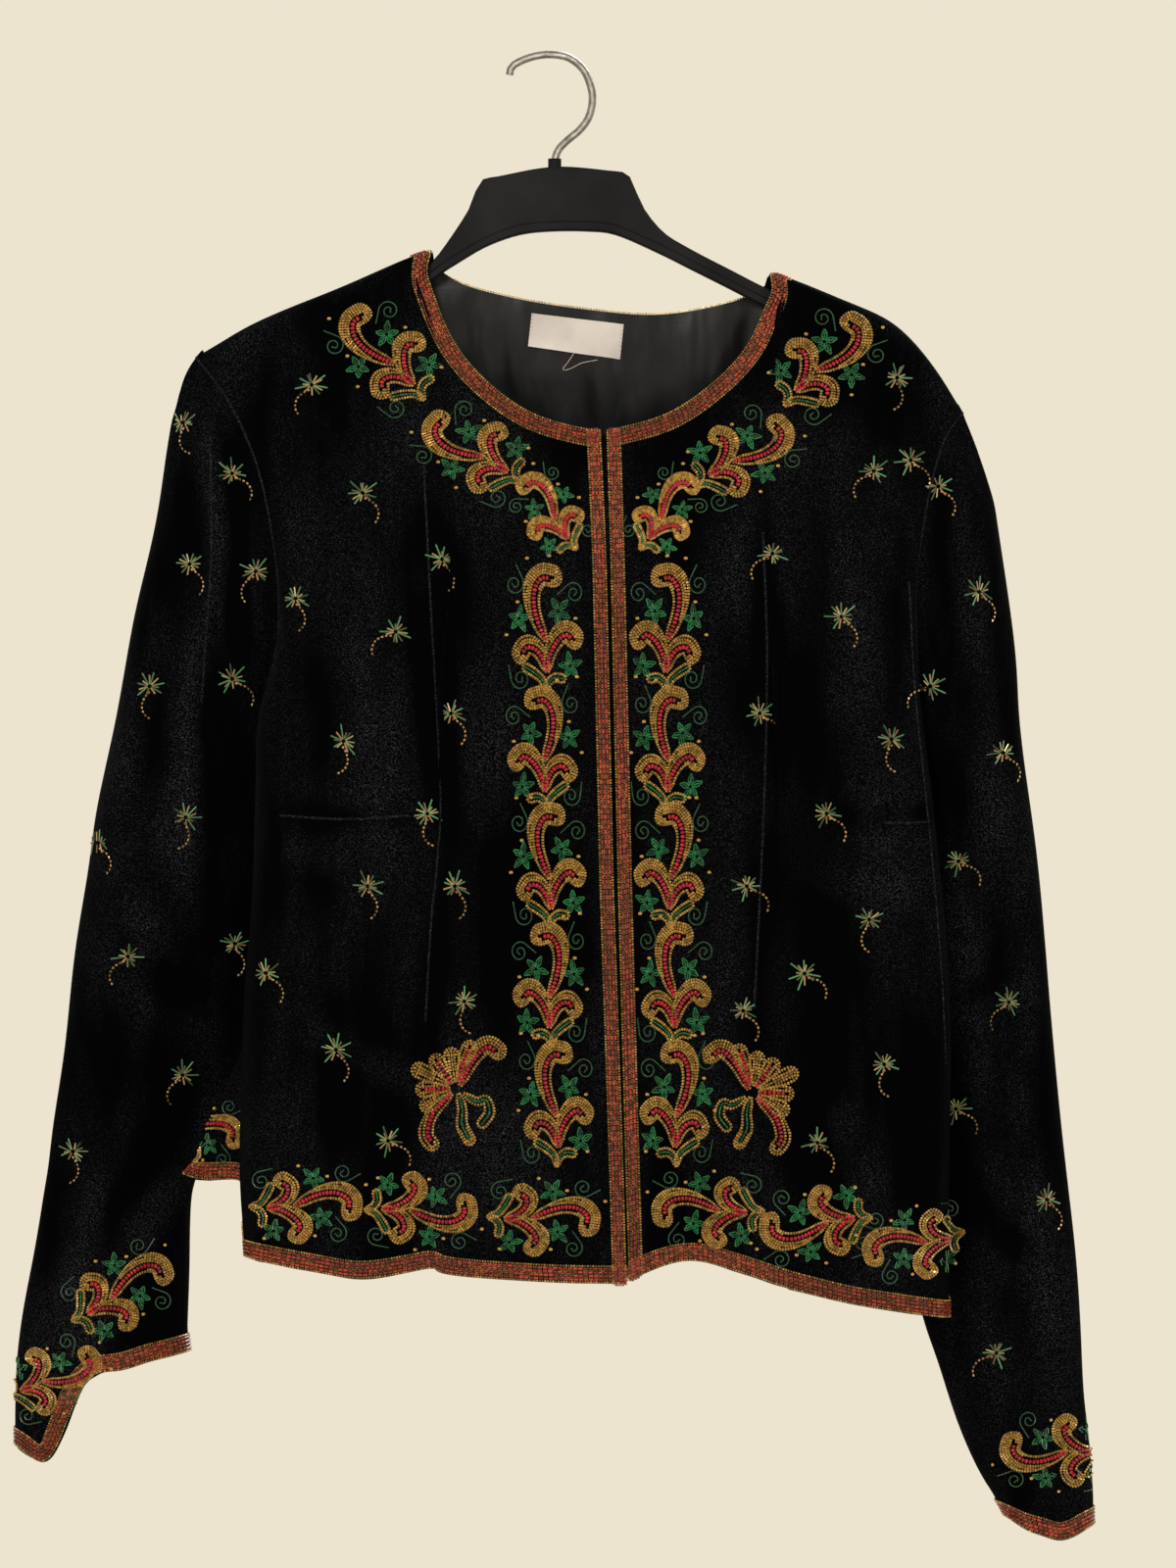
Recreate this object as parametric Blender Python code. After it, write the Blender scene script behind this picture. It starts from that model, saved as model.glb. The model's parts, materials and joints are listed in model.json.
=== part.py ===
"""Beaded velvet evening jacket hung on a moulded hanger.

Metres, +Z up, front toward -Y, origin at the inner top of the hanger's hook. Left and right in names
are the wearer's. The tables and sizes below are in millimetres.
"""

import bpy
import numpy as np
from mathutils import Vector
from mathutils.bvhtree import BVHTree

# Cloth sizes
WALL = 1.6
SEAM_GAP = 0.4
ARMHOLE_GAP = 0.6
TRIM_WIDTH = 8.0
TRIM_GAP = 0.3
TRIM_THICK = 1.3
LINING_GAP = 0.4
LINING_THICK = 1.0
LABEL_GAP = 0.4
LABEL_THICK = 1.0

# Depth of the body: the roll over the shoulder, then the fall to the full depth
ROLL = 10.0
DROP = 210.0
FRONT_DEPTH = 46.0
BACK_DEPTH = 40.0
FRONT_ROUND = 3.2
BACK_ROUND = 2.4
SHOULDER_INSET = 5.0
NECK_CORNER_DROP = 2.0

# Outlines of the panels, columns x, z
NECK_RIGHT = [(25, -203), (4, -199), (-14, -192), (-30, -181), (-41, -171), (-52, -157), (-61, -139), (-66, -123),
              (-70, -105)]
SHOULDER_RIGHT = [(-70, -105), (-120, -126), (-159, -142), (-194, -162)]
ARMHOLE_RIGHT = [(-161, -357), (-156, -344), (-149, -313), (-149, -282), (-155, -241), (-164, -210), (-180, -180),
                 (-194, -162)]
SIDE_RIGHT = [(-167, -650), (-170, -606), (-169, -547), (-167, -500), (-163, -447), (-161, -357)]
HEM_RIGHT = [(39, -663), (-3, -662), (-50, -659), (-72, -655), (-87, -660), (-114, -659), (-140, -655), (-167, -650)]
CENTRE_RIGHT = [(39, -663), (37, -595), (32, -447), (28, -267), (25, -203)]

NECK_LEFT = [(29, -203), (40, -200), (53, -197), (69, -189), (83, -179), (98, -165), (107, -152), (113, -138),
             (121, -117)]
SHOULDER_LEFT = [(121, -117), (151, -129), (179, -140), (203, -163), (222, -192)]
ARMHOLE_LEFT = [(201, -365), (197, -330), (196, -288), (201, -245), (208, -217), (213, -204), (222, -192)]
SIDE_LEFT = [(214, -683), (214, -616), (215, -553), (214, -500), (210, -447), (201, -365)]
HEM_LEFT = [(41, -661), (61, -653), (77, -651), (103, -658), (125, -665), (151, -672), (178, -677), (214, -683)]
CENTRE_LEFT = [(41, -661), (39, -595), (35, -447), (31, -267), (29, -203)]

NECK_BACK = [(-70, -105), (-63, -114), (-55, -120), (-20, -130), (20, -136), (57, -139), (73, -137), (99, -131),
             (114, -125), (121, -117)]
# Hem of the back, columns share of the way from right to left side, z
HEM_BACK = [(0, -650), (0.015, -613), (0.04, -610), (0.09, -606), (0.15, -607), (0.3, -613), (0.5, -622), (0.7, -633), (0.86, -643),
            (0.92, -650), (0.97, -662), (1, -683)]
# Line over both shoulders and the neck hole, columns x, z
SHOULDER_LINE = [(-230, -190), (-194, -162), (-159, -142), (-120, -126), (-70, -105), (121, -117), (151, -129),
                 (179, -140), (203, -163), (222, -192), (250, -236)]

# Depth of the side edges, columns z below the shoulder tip, front depth, back depth
ARMHOLE_DEPTH = [(0, 0, 0), (8, 7, 7), (25, 14, 14), (70, 22, 22), (120, 23, 22), (165, 13, 12), (195, 1, 1)]
SEAM_DEPTH = [(0, 1), (30, 7), (80, 12), (140, 14), (400, 14)]

# Spacing of the grid lines
NECK_STEPS = [0.0, 0.09, 0.18, 0.27, 0.35, 0.42, 0.47]
SHOULDER_STEPS = [0.5, 0.65, 0.765, 0.865, 0.93, 0.97, 1.0]
BACK_SIDE_STEPS = [0.0, 0.015, 0.04, 0.09, 0.15, 0.22, 0.3]
BACK_NECK_STEPS = [0.315, 0.35, 0.4, 0.45, 0.5, 0.55, 0.6, 0.65, 0.685]
SEAM_ROWS = 11
ARMHOLE_STEPS = [0.1, 0.22, 0.36, 0.5, 0.64, 0.78, 0.9]

# Largest folds, columns x and z of each end, half width, height out of the cloth
FRONT_RIGHT_FOLDS = [
    (-66, -250, -62, -560, 11, -2.5),
    (-92, -470, -88, -660, 15, 5.0),
    (-70, -520, -72, -660, 11, -6.0),
    (-125, -430, -132, -655, 18, 4.0),
    (0, -480, 8, -662, 18, 3.0),
]
FRONT_LEFT_FOLDS = [
    (113, -400, 107, -650, 12, -2.5),
    (78, -500, 76, -655, 13, -6.0),
    (128, -480, 132, -668, 17, 5.0),
    (176, -480, 180, -678, 16, 4.0),
    (179, -175, 197, -345, 9, 4.0),
]
BACK_FOLDS = [
    (-95, -330, -104, -612, 20, 5.0),
    (-40, -380, -36, -617, 15, -5.0),
    (22, -250, 26, -622, 22, 4.0),
    (88, -360, 92, -632, 16, -5.0),
    (140, -330, 148, -640, 20, 5.0),
]
# Flare of the back beside the right side seam
FLARE_OUT = 70.0
FLARE_TOP = -485.0
FLARE_FULL = -606.0
FLARE_SHAPE = [(0.0, 0.0), (0.015, 0.0), (0.04, 0.5), (0.09, 1.0), (0.15, 1.0), (0.22, 0.67), (0.3, 0.0), (1.0, 0.0)]

# Sleeves, columns outer x, outer z, inner x, inner z, middle y, half depth
SLEEVE_RIGHT = [
    (-195, -164, -161, -357, 0, 24),
    (-199, -171, -162.5, -358.5, 1, 24.5),
    (-204, -188, -163, -361, 3, 25.5),
    (-209, -207, -163, -366, 6, 27),
    (-215, -240, -162, -373, 10, 28),
    (-223, -277, -161, -384, 14, 28),
    (-231, -314, -160, -398, 18, 27),
    (-240, -367, -159, -417, 22, 26),
    (-249, -410, -158, -442, 28, 25),
    (-254, -441, -158, -466, 33, 24),
    (-262, -487, -159, -500, 39, 22),
    (-269, -540, -166, -537, 46, 20),
    (-275, -579, -179, -571, 52, 18),
    (-278, -603, -191, -598, 54, 18),
    (-281, -622, -199, -619, 52, 19),
    (-286, -659, -200, -659, 46, 21),
    (-293, -706, -200, -690, 40, 22),
    (-295, -755, -199, -704, 38, 22),
]
SLEEVE_LEFT = [
    (222, -192, 201, -365, 0, 24),
    (225, -201, 202, -366.5, 1, 24.5),
    (229, -212, 202.5, -369.5, 3, 25.5),
    (237, -235, 203, -375, 7, 27),
    (242, -259, 203, -383, 12, 28),
    (251, -316, 204, -400, 21, 29),
    (254, -351, 202, -420, 29, 29),
    (258, -388, 199, -447, 36, 29),
    (264, -436, 196, -479, 41, 28),
    (269, -484, 192, -516, 44, 27),
    (273, -532, 187, -553, 45, 26),
    (279, -590, 190, -600, 46, 25),
    (284, -643, 195, -646, 46, 24),
    (288, -696, 201, -683, 44, 24),
    (290, -728, 210, -709, 41, 24),
    (293, -754, 220, -741, 38, 25),
    (295, -781, 232, -770, 36, 26),
    (295, -798, 246, -793, 35, 27),
]
SLEEVE_HEAD = 0.3
HEAD_EASE = 3.0
# Drop of the cuff hem on the front, columns share of the way from outer to inner edge, drop
CUFF_RIGHT = [(0.0, 0.0), (0.12, -13.0), (0.26, -16.0), (0.4, 13.0), (0.65, 10.0), (1.0, 0.0)]
CUFF_LEFT = [(0.0, 0.0), (0.35, -10.0), (0.7, -7.0), (1.0, 0.0)]
# Folds of the sleeves, columns ring and column of each end, half width in cells, height out of the cloth
SLEEVE_RIGHT_FOLDS = [
    (4, 2, 12, 3, 0.9, 4.0),
    (5, 5, 11, 5, 0.8, -4.0),
    (12, 6, 16, 3.4, 0.8, 5.0),
    (3, 14, 12, 13, 1.0, 4.0),
    (10, 16, 16, 15, 0.8, -3.0),
]
SLEEVE_LEFT_FOLDS = [
    (3, 2, 10, 2, 0.9, 3.0),
    (5, 4, 15, 3, 0.8, -4.0),
    (8, 6, 16, 5, 0.9, 4.0),
    (4, 13, 13, 14, 1.0, 4.0),
    (9, 15, 16, 15, 0.8, -3.0),
]

# Label corners, columns x, z: top left, top right, bottom right, bottom left
LABEL_CORNERS = [(-12, -138), (38, -144), (36, -163), (-14, -156)]
LABEL_STEPS = 6

# Hanger, columns x, z
HANGER_TOP = [(-182, -165), (-176, -164), (-140, -147), (-103, -131), (-81, -120), (-67, -111.5), (-55, -96),
              (-45, -80), (-40, -67), (-29, -64), (0, -59), (29, -61), (41, -64), (48, -80), (59, -94), (73, -103),
              (96, -115), (120, -127), (151, -139), (175, -150), (181, -154)]
HANGER_BOTTOM = [(-182, -174), (-176, -175), (-140, -159), (-103, -145), (-81, -132), (-67, -121), (-50, -110),
                 (-36, -102), (-19, -96), (-2, -94), (19, -94), (34, -96), (57, -106), (73, -114), (89, -122),
                 (115, -135), (151, -151), (175, -163), (181, -162)]
HANGER_STATIONS = 92
RIB_HALF = 5.0
WEB_HALF = 4.0
RIB_HEIGHT = 4.5
EDGE = 1.0
NUB_X = 0.5
NUB_RADIUS = 3.6
NUB_TOP = -54.5
NUB_BOTTOM = -64.0
HOLE_RADIUS = 2.5
HOLE_BOTTOM = -76.0
NUB_SIDES = 20

# Hook, columns x, z of the wire's middle line
HOOK_LINE = [(-24, -9), (-23, -5), (-19, -2), (-11, 1), (-2, 2.1), (8, 0.4), (16, -6), (20, -15), (21, -23), (19, -32),
             (14, -39), (8, -44), (3, -49), (0.9, -54), (0.5, -60), (0.5, -73)]
HOOK_RINGS = 40
HOOK_SIDES = 10
WIRE_RADIUS = 2.1

# Colours and roughness, columns base colour, roughness, metallic
FINISH = {
    "velvet": ((0.012, 0.012, 0.016, 1), 0.9, 0),
    "trim": ((0.35, 0.07, 0.04, 1), 0.45, 0),
    "lining": ((0.03, 0.03, 0.034, 1), 0.5, 0),
    "label": ((0.75, 0.68, 0.64, 1), 0.6, 0),
    "plastic": ((0.025, 0.025, 0.028, 1), 0.5, 0),
    "steel": ((0.6, 0.6, 0.6, 1), 0.3, 1),
}


def clear_scene():
    for obj in list(bpy.data.objects):
        bpy.data.objects.remove(obj)


def dense(points, per_span=12):
    """Catmull-Rom line through the points."""
    p = np.array(points, float)
    p = np.vstack([2 * p[0] - p[1], p, 2 * p[-1] - p[-2]])
    line = []
    for a, b, c, d in zip(p[:-3], p[1:-2], p[2:-1], p[3:]):
        for t in np.linspace(0, 1, per_span, endpoint=False):
            bend = 2 * b + (c - a) * t
            bend = bend + (2 * a - 5 * b + 4 * c - d) * t**2
            bend = bend + (3 * b - a - 3 * c + d) * t**3
            line.append(bend / 2)
    line.append(p[-2])
    return np.array(line)


def length_of(line):
    return np.linalg.norm(np.diff(line, axis=0), axis=1).sum()


def along(line, shares):
    """Points at these shares of the line's length."""
    run = np.concatenate([[0], np.cumsum(np.linalg.norm(np.diff(line, axis=0), axis=1))])
    wanted = np.asarray(shares) * run[-1]
    return np.stack([np.interp(wanted, run, line[:, k]) for k in range(line.shape[1])], axis=1)


def side_rows(side, armhole):
    """Points of the side edge from hem to shoulder tip, and the row of the underarm."""
    seam = dense(side)
    hole = dense(armhole)
    first = TRIM_WIDTH / length_of(seam)
    seam_shares = np.concatenate([[0], np.linspace(first, 1, SEAM_ROWS)])
    last = 1 - SHOULDER_INSET / length_of(hole)
    hole_shares = np.array(ARMHOLE_STEPS + [last, 1.0])
    return np.vstack([along(seam, seam_shares), along(hole, hole_shares)]), SEAM_ROWS


def shoulder_z(x):
    line = np.array(SHOULDER_LINE, float)
    return np.interp(x, line[:, 0], line[:, 1])


def fall(x, z, full):
    """Depth of the open part of a panel below the shoulder line."""
    below = np.maximum(shoulder_z(x) - z, 0)
    roll = ROLL * np.sqrt(1 - (1 - np.minimum(below / ROLL, 1)) ** 2)
    share = np.minimum(below / DROP, 1)
    return roll + (full - ROLL) * share**2 * (3 - 2 * share)


def side_depth(side, underarm, column):
    """Depth of the side edge at each row, positive toward the panel's own face."""
    tip_z = side[-1, 1]
    table = np.array(ARMHOLE_DEPTH, float)
    span = (tip_z - side[underarm, 1]) / table[-1, 0]
    depth = np.interp((tip_z - side[:, 1]) / span, table[:, 0], table[:, column])
    seam = np.array(SEAM_DEPTH, float)
    below = np.interp(side[underarm, 1] - side[:, 1], seam[:, 0], seam[:, 1])
    lower = np.arange(len(side)) < underarm
    return np.where(lower, below if column == 1 else -below, depth)


def folded(points, folds, out):
    """Depth added by the folds, in the direction out."""
    added = np.zeros(points.shape[:2])
    for x0, z0, x1, z1, half, height in folds:
        start = np.array([x0, z0], float)
        run = np.array([x1, z1], float) - start
        rel = points[..., [0, 2]] - start
        share = (rel @ run) / (run @ run)
        near = rel - np.clip(share, 0, 1)[..., None] * run
        grow = np.clip(share, 0, 1)
        away = (near**2).sum(axis=-1) / (2 * half**2)
        added += height * (0.25 + 0.75 * grow) * np.exp(-away)
    return out * added


def coons(bottom, top, left, right, us, vs):
    u = us[None, :, None]
    v = vs[:, None, None]
    flat = (1 - v) * bottom[None] + v * top[None] + (1 - u) * left[:, None] + u * right[:, None]
    corners = (1 - u) * ((1 - v) * bottom[0] + v * top[0]) + u * ((1 - v) * bottom[-1] + v * top[-1])
    return flat - corners


def normals_of(points, wrap=False):
    """Unit normals of a grid from its own neighbours."""
    if wrap:
        padded = np.concatenate([points[:, -1:], points, points[:, :1]], axis=1)
        across = (padded[:, 2:] - padded[:, :-2]) / 2
    else:
        across = np.gradient(points, axis=1)
    up = np.gradient(points, axis=0)
    n = np.cross(across, up)
    return n / np.linalg.norm(n, axis=-1, keepdims=True)


def flattened(n, keep):
    """Normals with only the axes named in keep."""
    n = n * np.array([axis in keep for axis in "xyz"], float)
    return n / np.linalg.norm(n, axis=-1, keepdims=True)


def front_panel(neck, shoulder, armhole, side, hem, centre, sign, folds):
    """Grid points and normals of a front, columns from centre to side, rows from hem to top."""
    us = np.array(NECK_STEPS + SHOULDER_STEPS)
    neck_at = len(NECK_STEPS)
    neck_line = dense(neck)
    start = TRIM_WIDTH / length_of(neck_line)
    neck_shares = start + (1 - start) * np.array(NECK_STEPS) / SHOULDER_STEPS[0]
    shoulder_shares = (np.array(SHOULDER_STEPS) - SHOULDER_STEPS[0]) / (1 - SHOULDER_STEPS[0])
    top = np.vstack([along(neck_line, neck_shares), along(dense(shoulder), shoulder_shares)])
    run = along(neck_line, np.clip(neck_shares + 0.01, 0, 1)) - along(neck_line, neck_shares - 0.01)
    into = np.stack([sign * run[:, 1], -sign * run[:, 0]], axis=1)
    into = into / np.linalg.norm(into, axis=1, keepdims=True) * TRIM_WIDTH
    inset = np.tile([0.0, -SHOULDER_INSET], (len(us), 1))
    inset[:neck_at] = into
    inset[neck_at] = [sign * TRIM_WIDTH, shoulder_z(top[neck_at, 0] + sign * TRIM_WIDTH) - top[neck_at, 1]]
    inset[neck_at, 1] -= NECK_CORNER_DROP
    hem_line = dense(hem)
    hem_start = TRIM_WIDTH / length_of(hem_line)
    bottom = along(hem_line, hem_start + (1 - hem_start) * us)
    edge, underarm = side_rows(side, armhole)
    inset[-1] = edge[-2] - edge[-1]
    run = np.concatenate([[0], np.cumsum(np.linalg.norm(np.diff(edge[1:-1], axis=0), axis=1))])
    vs = run / run[-1]
    bottom_in = bottom + [0, TRIM_WIDTH]
    bottom_in[-1] = edge[1]
    top_in = top + inset
    centre_line = np.array(centre, float)
    centre_line = centre_line[np.argsort(centre_line[:, 1])]
    left_z = bottom_in[0, 1] + (top_in[0, 1] - bottom_in[0, 1]) * vs
    left_x = np.interp(left_z, centre_line[:, 1], centre_line[:, 0]) + sign * TRIM_WIDTH
    left_x += (top_in[0, 0] - left_x[-1]) * vs + (bottom_in[0, 0] - left_x[0]) * (1 - vs)
    inner = coons(bottom_in, top_in, np.stack([left_x, left_z], axis=1), edge[1:-1], us, vs)
    inner = np.vstack([bottom[None], inner, top[None]])
    first = inner[:, :1].copy()
    first[0, 0] = centre[0]
    first[-1, 0] = centre[-1]
    first[1:-1, 0, 0] = np.interp(first[1:-1, 0, 1], centre_line[:, 1], centre_line[:, 0])
    flat = np.concatenate([first, inner], axis=1)
    us = np.concatenate([[0], us])
    at_side = side_depth(edge, underarm, 1)[:, None]
    round_off = (1 - us**FRONT_ROUND) ** (1 / FRONT_ROUND)
    full = fall(flat[..., 0], flat[..., 1], FRONT_DEPTH)
    depth = at_side + (full - at_side) * round_off
    depth[-1, neck_at + 1:] = SEAM_GAP / 2
    points = np.stack([flat[..., 0], -depth, flat[..., 1]], axis=-1)
    points[..., 1] += folded(points, folds, -1) * round_off
    n = normals_of(points) * sign
    n[-1, neck_at + 1:] = flattened(n[-1, neck_at + 1:], "xz")
    n[:underarm + 1, -1] = flattened(n[:underarm + 1, -1], "xz")
    return points, n, underarm, neck_at + 1


def back_panel(right, left):
    """Grid points and normals of the back, columns from the right side to the left."""
    points_r, normals_r, underarm, neck_at = right
    points_l, normals_l = left[:2]
    us = np.array(BACK_SIDE_STEPS + BACK_NECK_STEPS + [1 - u for u in BACK_SIDE_STEPS[::-1]])
    sides = len(BACK_SIDE_STEPS)
    necks = len(BACK_NECK_STEPS)
    neck_shares = (np.array(BACK_NECK_STEPS) - us[sides - 1]) / (us[sides + necks] - us[sides - 1])
    top = np.vstack([points_r[-1, neck_at:][::-1][:, [0, 2]], along(dense(NECK_BACK), neck_shares),
                     points_l[-1, neck_at:][:, [0, 2]]])
    inset = np.tile([0.0, -SHOULDER_INSET], (len(us), 1))
    inset[sides:sides + necks, 1] = -TRIM_WIDTH
    for column, sign in ((sides - 1, -1), (sides + necks, 1)):
        rise = shoulder_z(top[column, 0] + sign * TRIM_WIDTH) - top[column, 1]
        inset[column] = [sign * TRIM_WIDTH, rise - NECK_CORNER_DROP]
    edge_r = points_r[:, -1][:, [0, 2]]
    edge_l = points_l[:, -1][:, [0, 2]]
    inset[0] = edge_r[-2] - edge_r[-1]
    inset[-1] = edge_l[-2] - edge_l[-1]
    hem = np.array(HEM_BACK, float)
    bottom = np.stack([np.interp(us, [0, 1], [edge_r[0, 0], edge_l[0, 0]]), np.interp(us, hem[:, 0], hem[:, 1])], axis=1)
    bottom[0] = edge_r[0]
    bottom[-1] = edge_l[0]
    bottom_in = bottom + [0, TRIM_WIDTH]
    bottom_in[0] = edge_r[1]
    bottom_in[-1] = edge_l[1]
    run = np.concatenate([[0], np.cumsum(np.linalg.norm(np.diff(edge_r[1:-1], axis=0), axis=1))])
    vs = run / run[-1]
    flat = coons(bottom_in, top + inset, edge_r[1:-1], edge_l[1:-1], us, vs)
    flat = np.vstack([bottom[None], flat, top[None]])
    side_r = side_depth(edge_r, underarm, 2)[:, None]
    side_l = side_depth(edge_l, underarm, 2)[:, None]
    at_side = side_r * (1 - us) + side_l * us
    round_off = (1 - np.abs(2 * us - 1) ** BACK_ROUND) ** (1 / BACK_ROUND)
    depth = at_side + (fall(flat[..., 0], flat[..., 1], BACK_DEPTH) - at_side) * round_off
    points = np.stack([flat[..., 0], depth, flat[..., 1]], axis=-1)
    points[..., 1] += folded(points, BACK_FOLDS, 1) * round_off
    shape = np.array(FLARE_SHAPE)
    grow = np.clip((FLARE_TOP - points[..., 2]) / (FLARE_TOP - FLARE_FULL), 0, 1.1)
    points[..., 0] -= FLARE_OUT * grow * np.interp(us, shape[:, 0], shape[:, 1])
    points[-1, :sides - 1, 1] = SEAM_GAP / 2
    points[-1, sides + necks + 1:, 1] = SEAM_GAP / 2
    points[:underarm + 1, 0] = points_r[:underarm + 1, -1] + [0, SEAM_GAP, 0]
    points[:underarm + 1, -1] = points_l[:underarm + 1, -1] + [0, SEAM_GAP, 0]
    for column in (sides - 1, sides + necks):
        points[-1, column, 1] = SEAM_GAP / 2
    n = -normals_of(points)
    for part in (slice(0, sides), slice(sides + necks, None)):
        n[-1, part] = flattened(n[-1, part], "xz")
    for column, normals in ((0, normals_r), (-1, normals_l)):
        shared = flattened(n[:underarm + 1, column] + normals[:underarm + 1, -1], "xyz")
        n[:underarm + 1, column] = shared
        normals[:underarm + 1, -1] = shared
    return points, n, (sides - 1, sides + necks)


def outward(edge, beside):
    """Directions that lead on from a panel past its edge, square to the edge."""
    run = np.gradient(edge, axis=0)
    run /= np.linalg.norm(run, axis=1, keepdims=True)
    out = edge - beside
    out -= (out * run).sum(axis=1, keepdims=True) * run
    return out / np.linalg.norm(out, axis=1, keepdims=True)


def sleeve_tube(front, back, back_column, table, cuff, folds, sign):
    """Rings of a sleeve from the armhole to the cuff, columns round the arm from the outer edge."""
    points_f, normals_f, underarm = front[:3]
    points_b, normals_b = back[:2]
    rows = np.arange(len(points_f) - 2, underarm, -1)
    front_edge = points_f[rows, -1]
    back_edge = points_b[rows, back_column]
    tip = (points_f[-1, -1] + points_b[-1, back_column]) / 2
    pit = (points_f[underarm, -1] + points_b[underarm, back_column]) / 2
    hole = np.vstack([tip[None], front_edge, pit[None], back_edge[::-1]])
    tip_n = normals_f[-1, -1] + normals_b[-1, back_column]
    pit_n = np.array([0.0, 0.0, -1.0])
    hole_n = np.vstack([tip_n[None], normals_f[rows, -1], pit_n[None], normals_b[rows, back_column][::-1]])
    hole_n /= np.linalg.norm(hole_n, axis=1, keepdims=True)
    count = len(rows)
    turn = np.pi * np.arange(2 * count + 2) / (count + 1)
    table = np.array(table, float)
    outer, inner = table[:, :2], table[:, 2:4]
    share = (1 - np.cos(turn)) / 2
    rings = outer[:, None] + (inner - outer)[:, None] * share[None, :, None]
    bulge = np.sign(np.sin(turn)) * np.abs(np.sin(turn)) ** 0.85
    depth = table[:, 4:5] - table[:, 5:6] * bulge
    tube = np.stack([rings[..., 0], depth, rings[..., 1]], axis=-1)
    steps = np.arange(len(table)) / (len(table) - 1)
    keep = np.clip(1 - steps / SLEEVE_HEAD, 0, 1)
    keep = keep**2 * (3 - 2 * keep)
    tube += (hole - tube[0])[None] * keep[:, None, None]
    past = np.zeros_like(hole)
    past[1:count + 1] = outward(points_f[:, -1], points_f[:, -2])[rows]
    past[count + 2:] = outward(points_b[:, back_column], points_b[:, 1 if back_column == 0 else -2])[rows][::-1]
    past[0] = past[1] + past[-1]
    past[count + 1] = past[count] + past[count + 2]
    past /= np.linalg.norm(past, axis=1, keepdims=True)
    tube[1:] += past[None] * HEAD_EASE * keep[1:, None, None]
    facing = np.sin(turn) > 0.05
    drop = np.array(cuff)
    low = np.interp(share, drop[:, 0], drop[:, 1])
    low = np.where(facing, low, 1.2 * np.maximum(low, 0))
    for ring, weight in ((-1, 1.0), (-2, 0.55), (-3, 0.15)):
        tube[ring, :, 2] += weight * low
    ring_at = np.arange(len(table))[:, None]
    column_at = np.arange(len(turn))[None, :]
    n = normals_of(tube, wrap=True) * sign
    for r0, c0, r1, c1, half, height in folds:
        grow = np.clip((ring_at - r0) / (r1 - r0), 0, 1)
        off = np.abs(column_at - (c0 + (c1 - c0) * grow))
        ends = np.clip((ring_at - r0 + 1) / 2, 0, 1) * np.clip((r1 + 2 - ring_at) / 2, 0, 1)
        tube += n * (height * ends * np.exp(-(off**2) / (2 * half**2)))[..., None]
    last = tube[-2] - tube[-1]
    inset = tube[-1] + last / np.linalg.norm(last, axis=1, keepdims=True) * TRIM_WIDTH
    tube = np.concatenate([tube[:-1], inset[None], tube[-1:]])
    tube[0] = hole + past * ARMHOLE_GAP
    n = normals_of(tube, wrap=True) * sign
    n[0] = hole_n
    return tube, n


def make_mesh(name, vertices, faces, finish, smooth=True):
    mesh = bpy.data.meshes.new(name)
    mesh.from_pydata([tuple(float(k) * 0.001 for k in v) for v in vertices], [], faces)
    mesh.update()
    for polygon in mesh.polygons:
        polygon.use_smooth = smooth
    obj = bpy.data.objects.new(name, mesh)
    bpy.context.scene.collection.objects.link(obj)
    colour, rough, metal = FINISH[finish]
    material = bpy.data.materials.new(name + "_" + finish)
    material.use_nodes = True
    shader = material.node_tree.nodes["Principled BSDF"]
    shader.inputs["Base Color"].default_value = colour
    shader.inputs["Roughness"].default_value = rough
    shader.inputs["Metallic"].default_value = metal
    mesh.materials.append(material)
    return obj


def shell(name, points, n, cells, low, high, finish, wrap=False):
    """Closed wall over the named cells of a grid, from low to high along its normals."""
    rows, columns = points.shape[:2]
    used = {}
    thirds = []
    for i, j in cells:
        nxt = (j + 1) % columns if wrap else j + 1
        corners = [(i, j), (i, nxt), (i + 1, nxt), (i + 1, j)]
        for corner in corners:
            used.setdefault(corner, len(used))
        a, b, c, d = [used[corner] for corner in corners]
        thirds += [[a, b, c], [a, c, d]]
    keys = list(used)
    base = np.array([points[k] for k in keys])
    out = np.array([n[k] for k in keys])
    count = len(keys)
    spans = np.array(thirds)
    area = np.cross(base[spans[:, 1]] - base[spans[:, 0]], base[spans[:, 2]] - base[spans[:, 0]])
    if (area * out[spans].mean(axis=1)).sum() < 0:
        thirds = [third[::-1] for third in thirds]
    edges = {(a, b) for third in thirds for a, b in zip(third, third[1:] + third[:1])}
    faces = [list(third) for third in thirds]
    faces += [[k + count for k in third[::-1]] for third in thirds]
    faces += [[b, a, a + count, b + count] for a, b in sorted(edges) if (b, a) not in edges]
    return make_mesh(name, np.vstack([base + high * out, base + low * out]), faces, finish)


def block(rows, columns):
    return [(i, j) for i in rows for j in columns]


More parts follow.
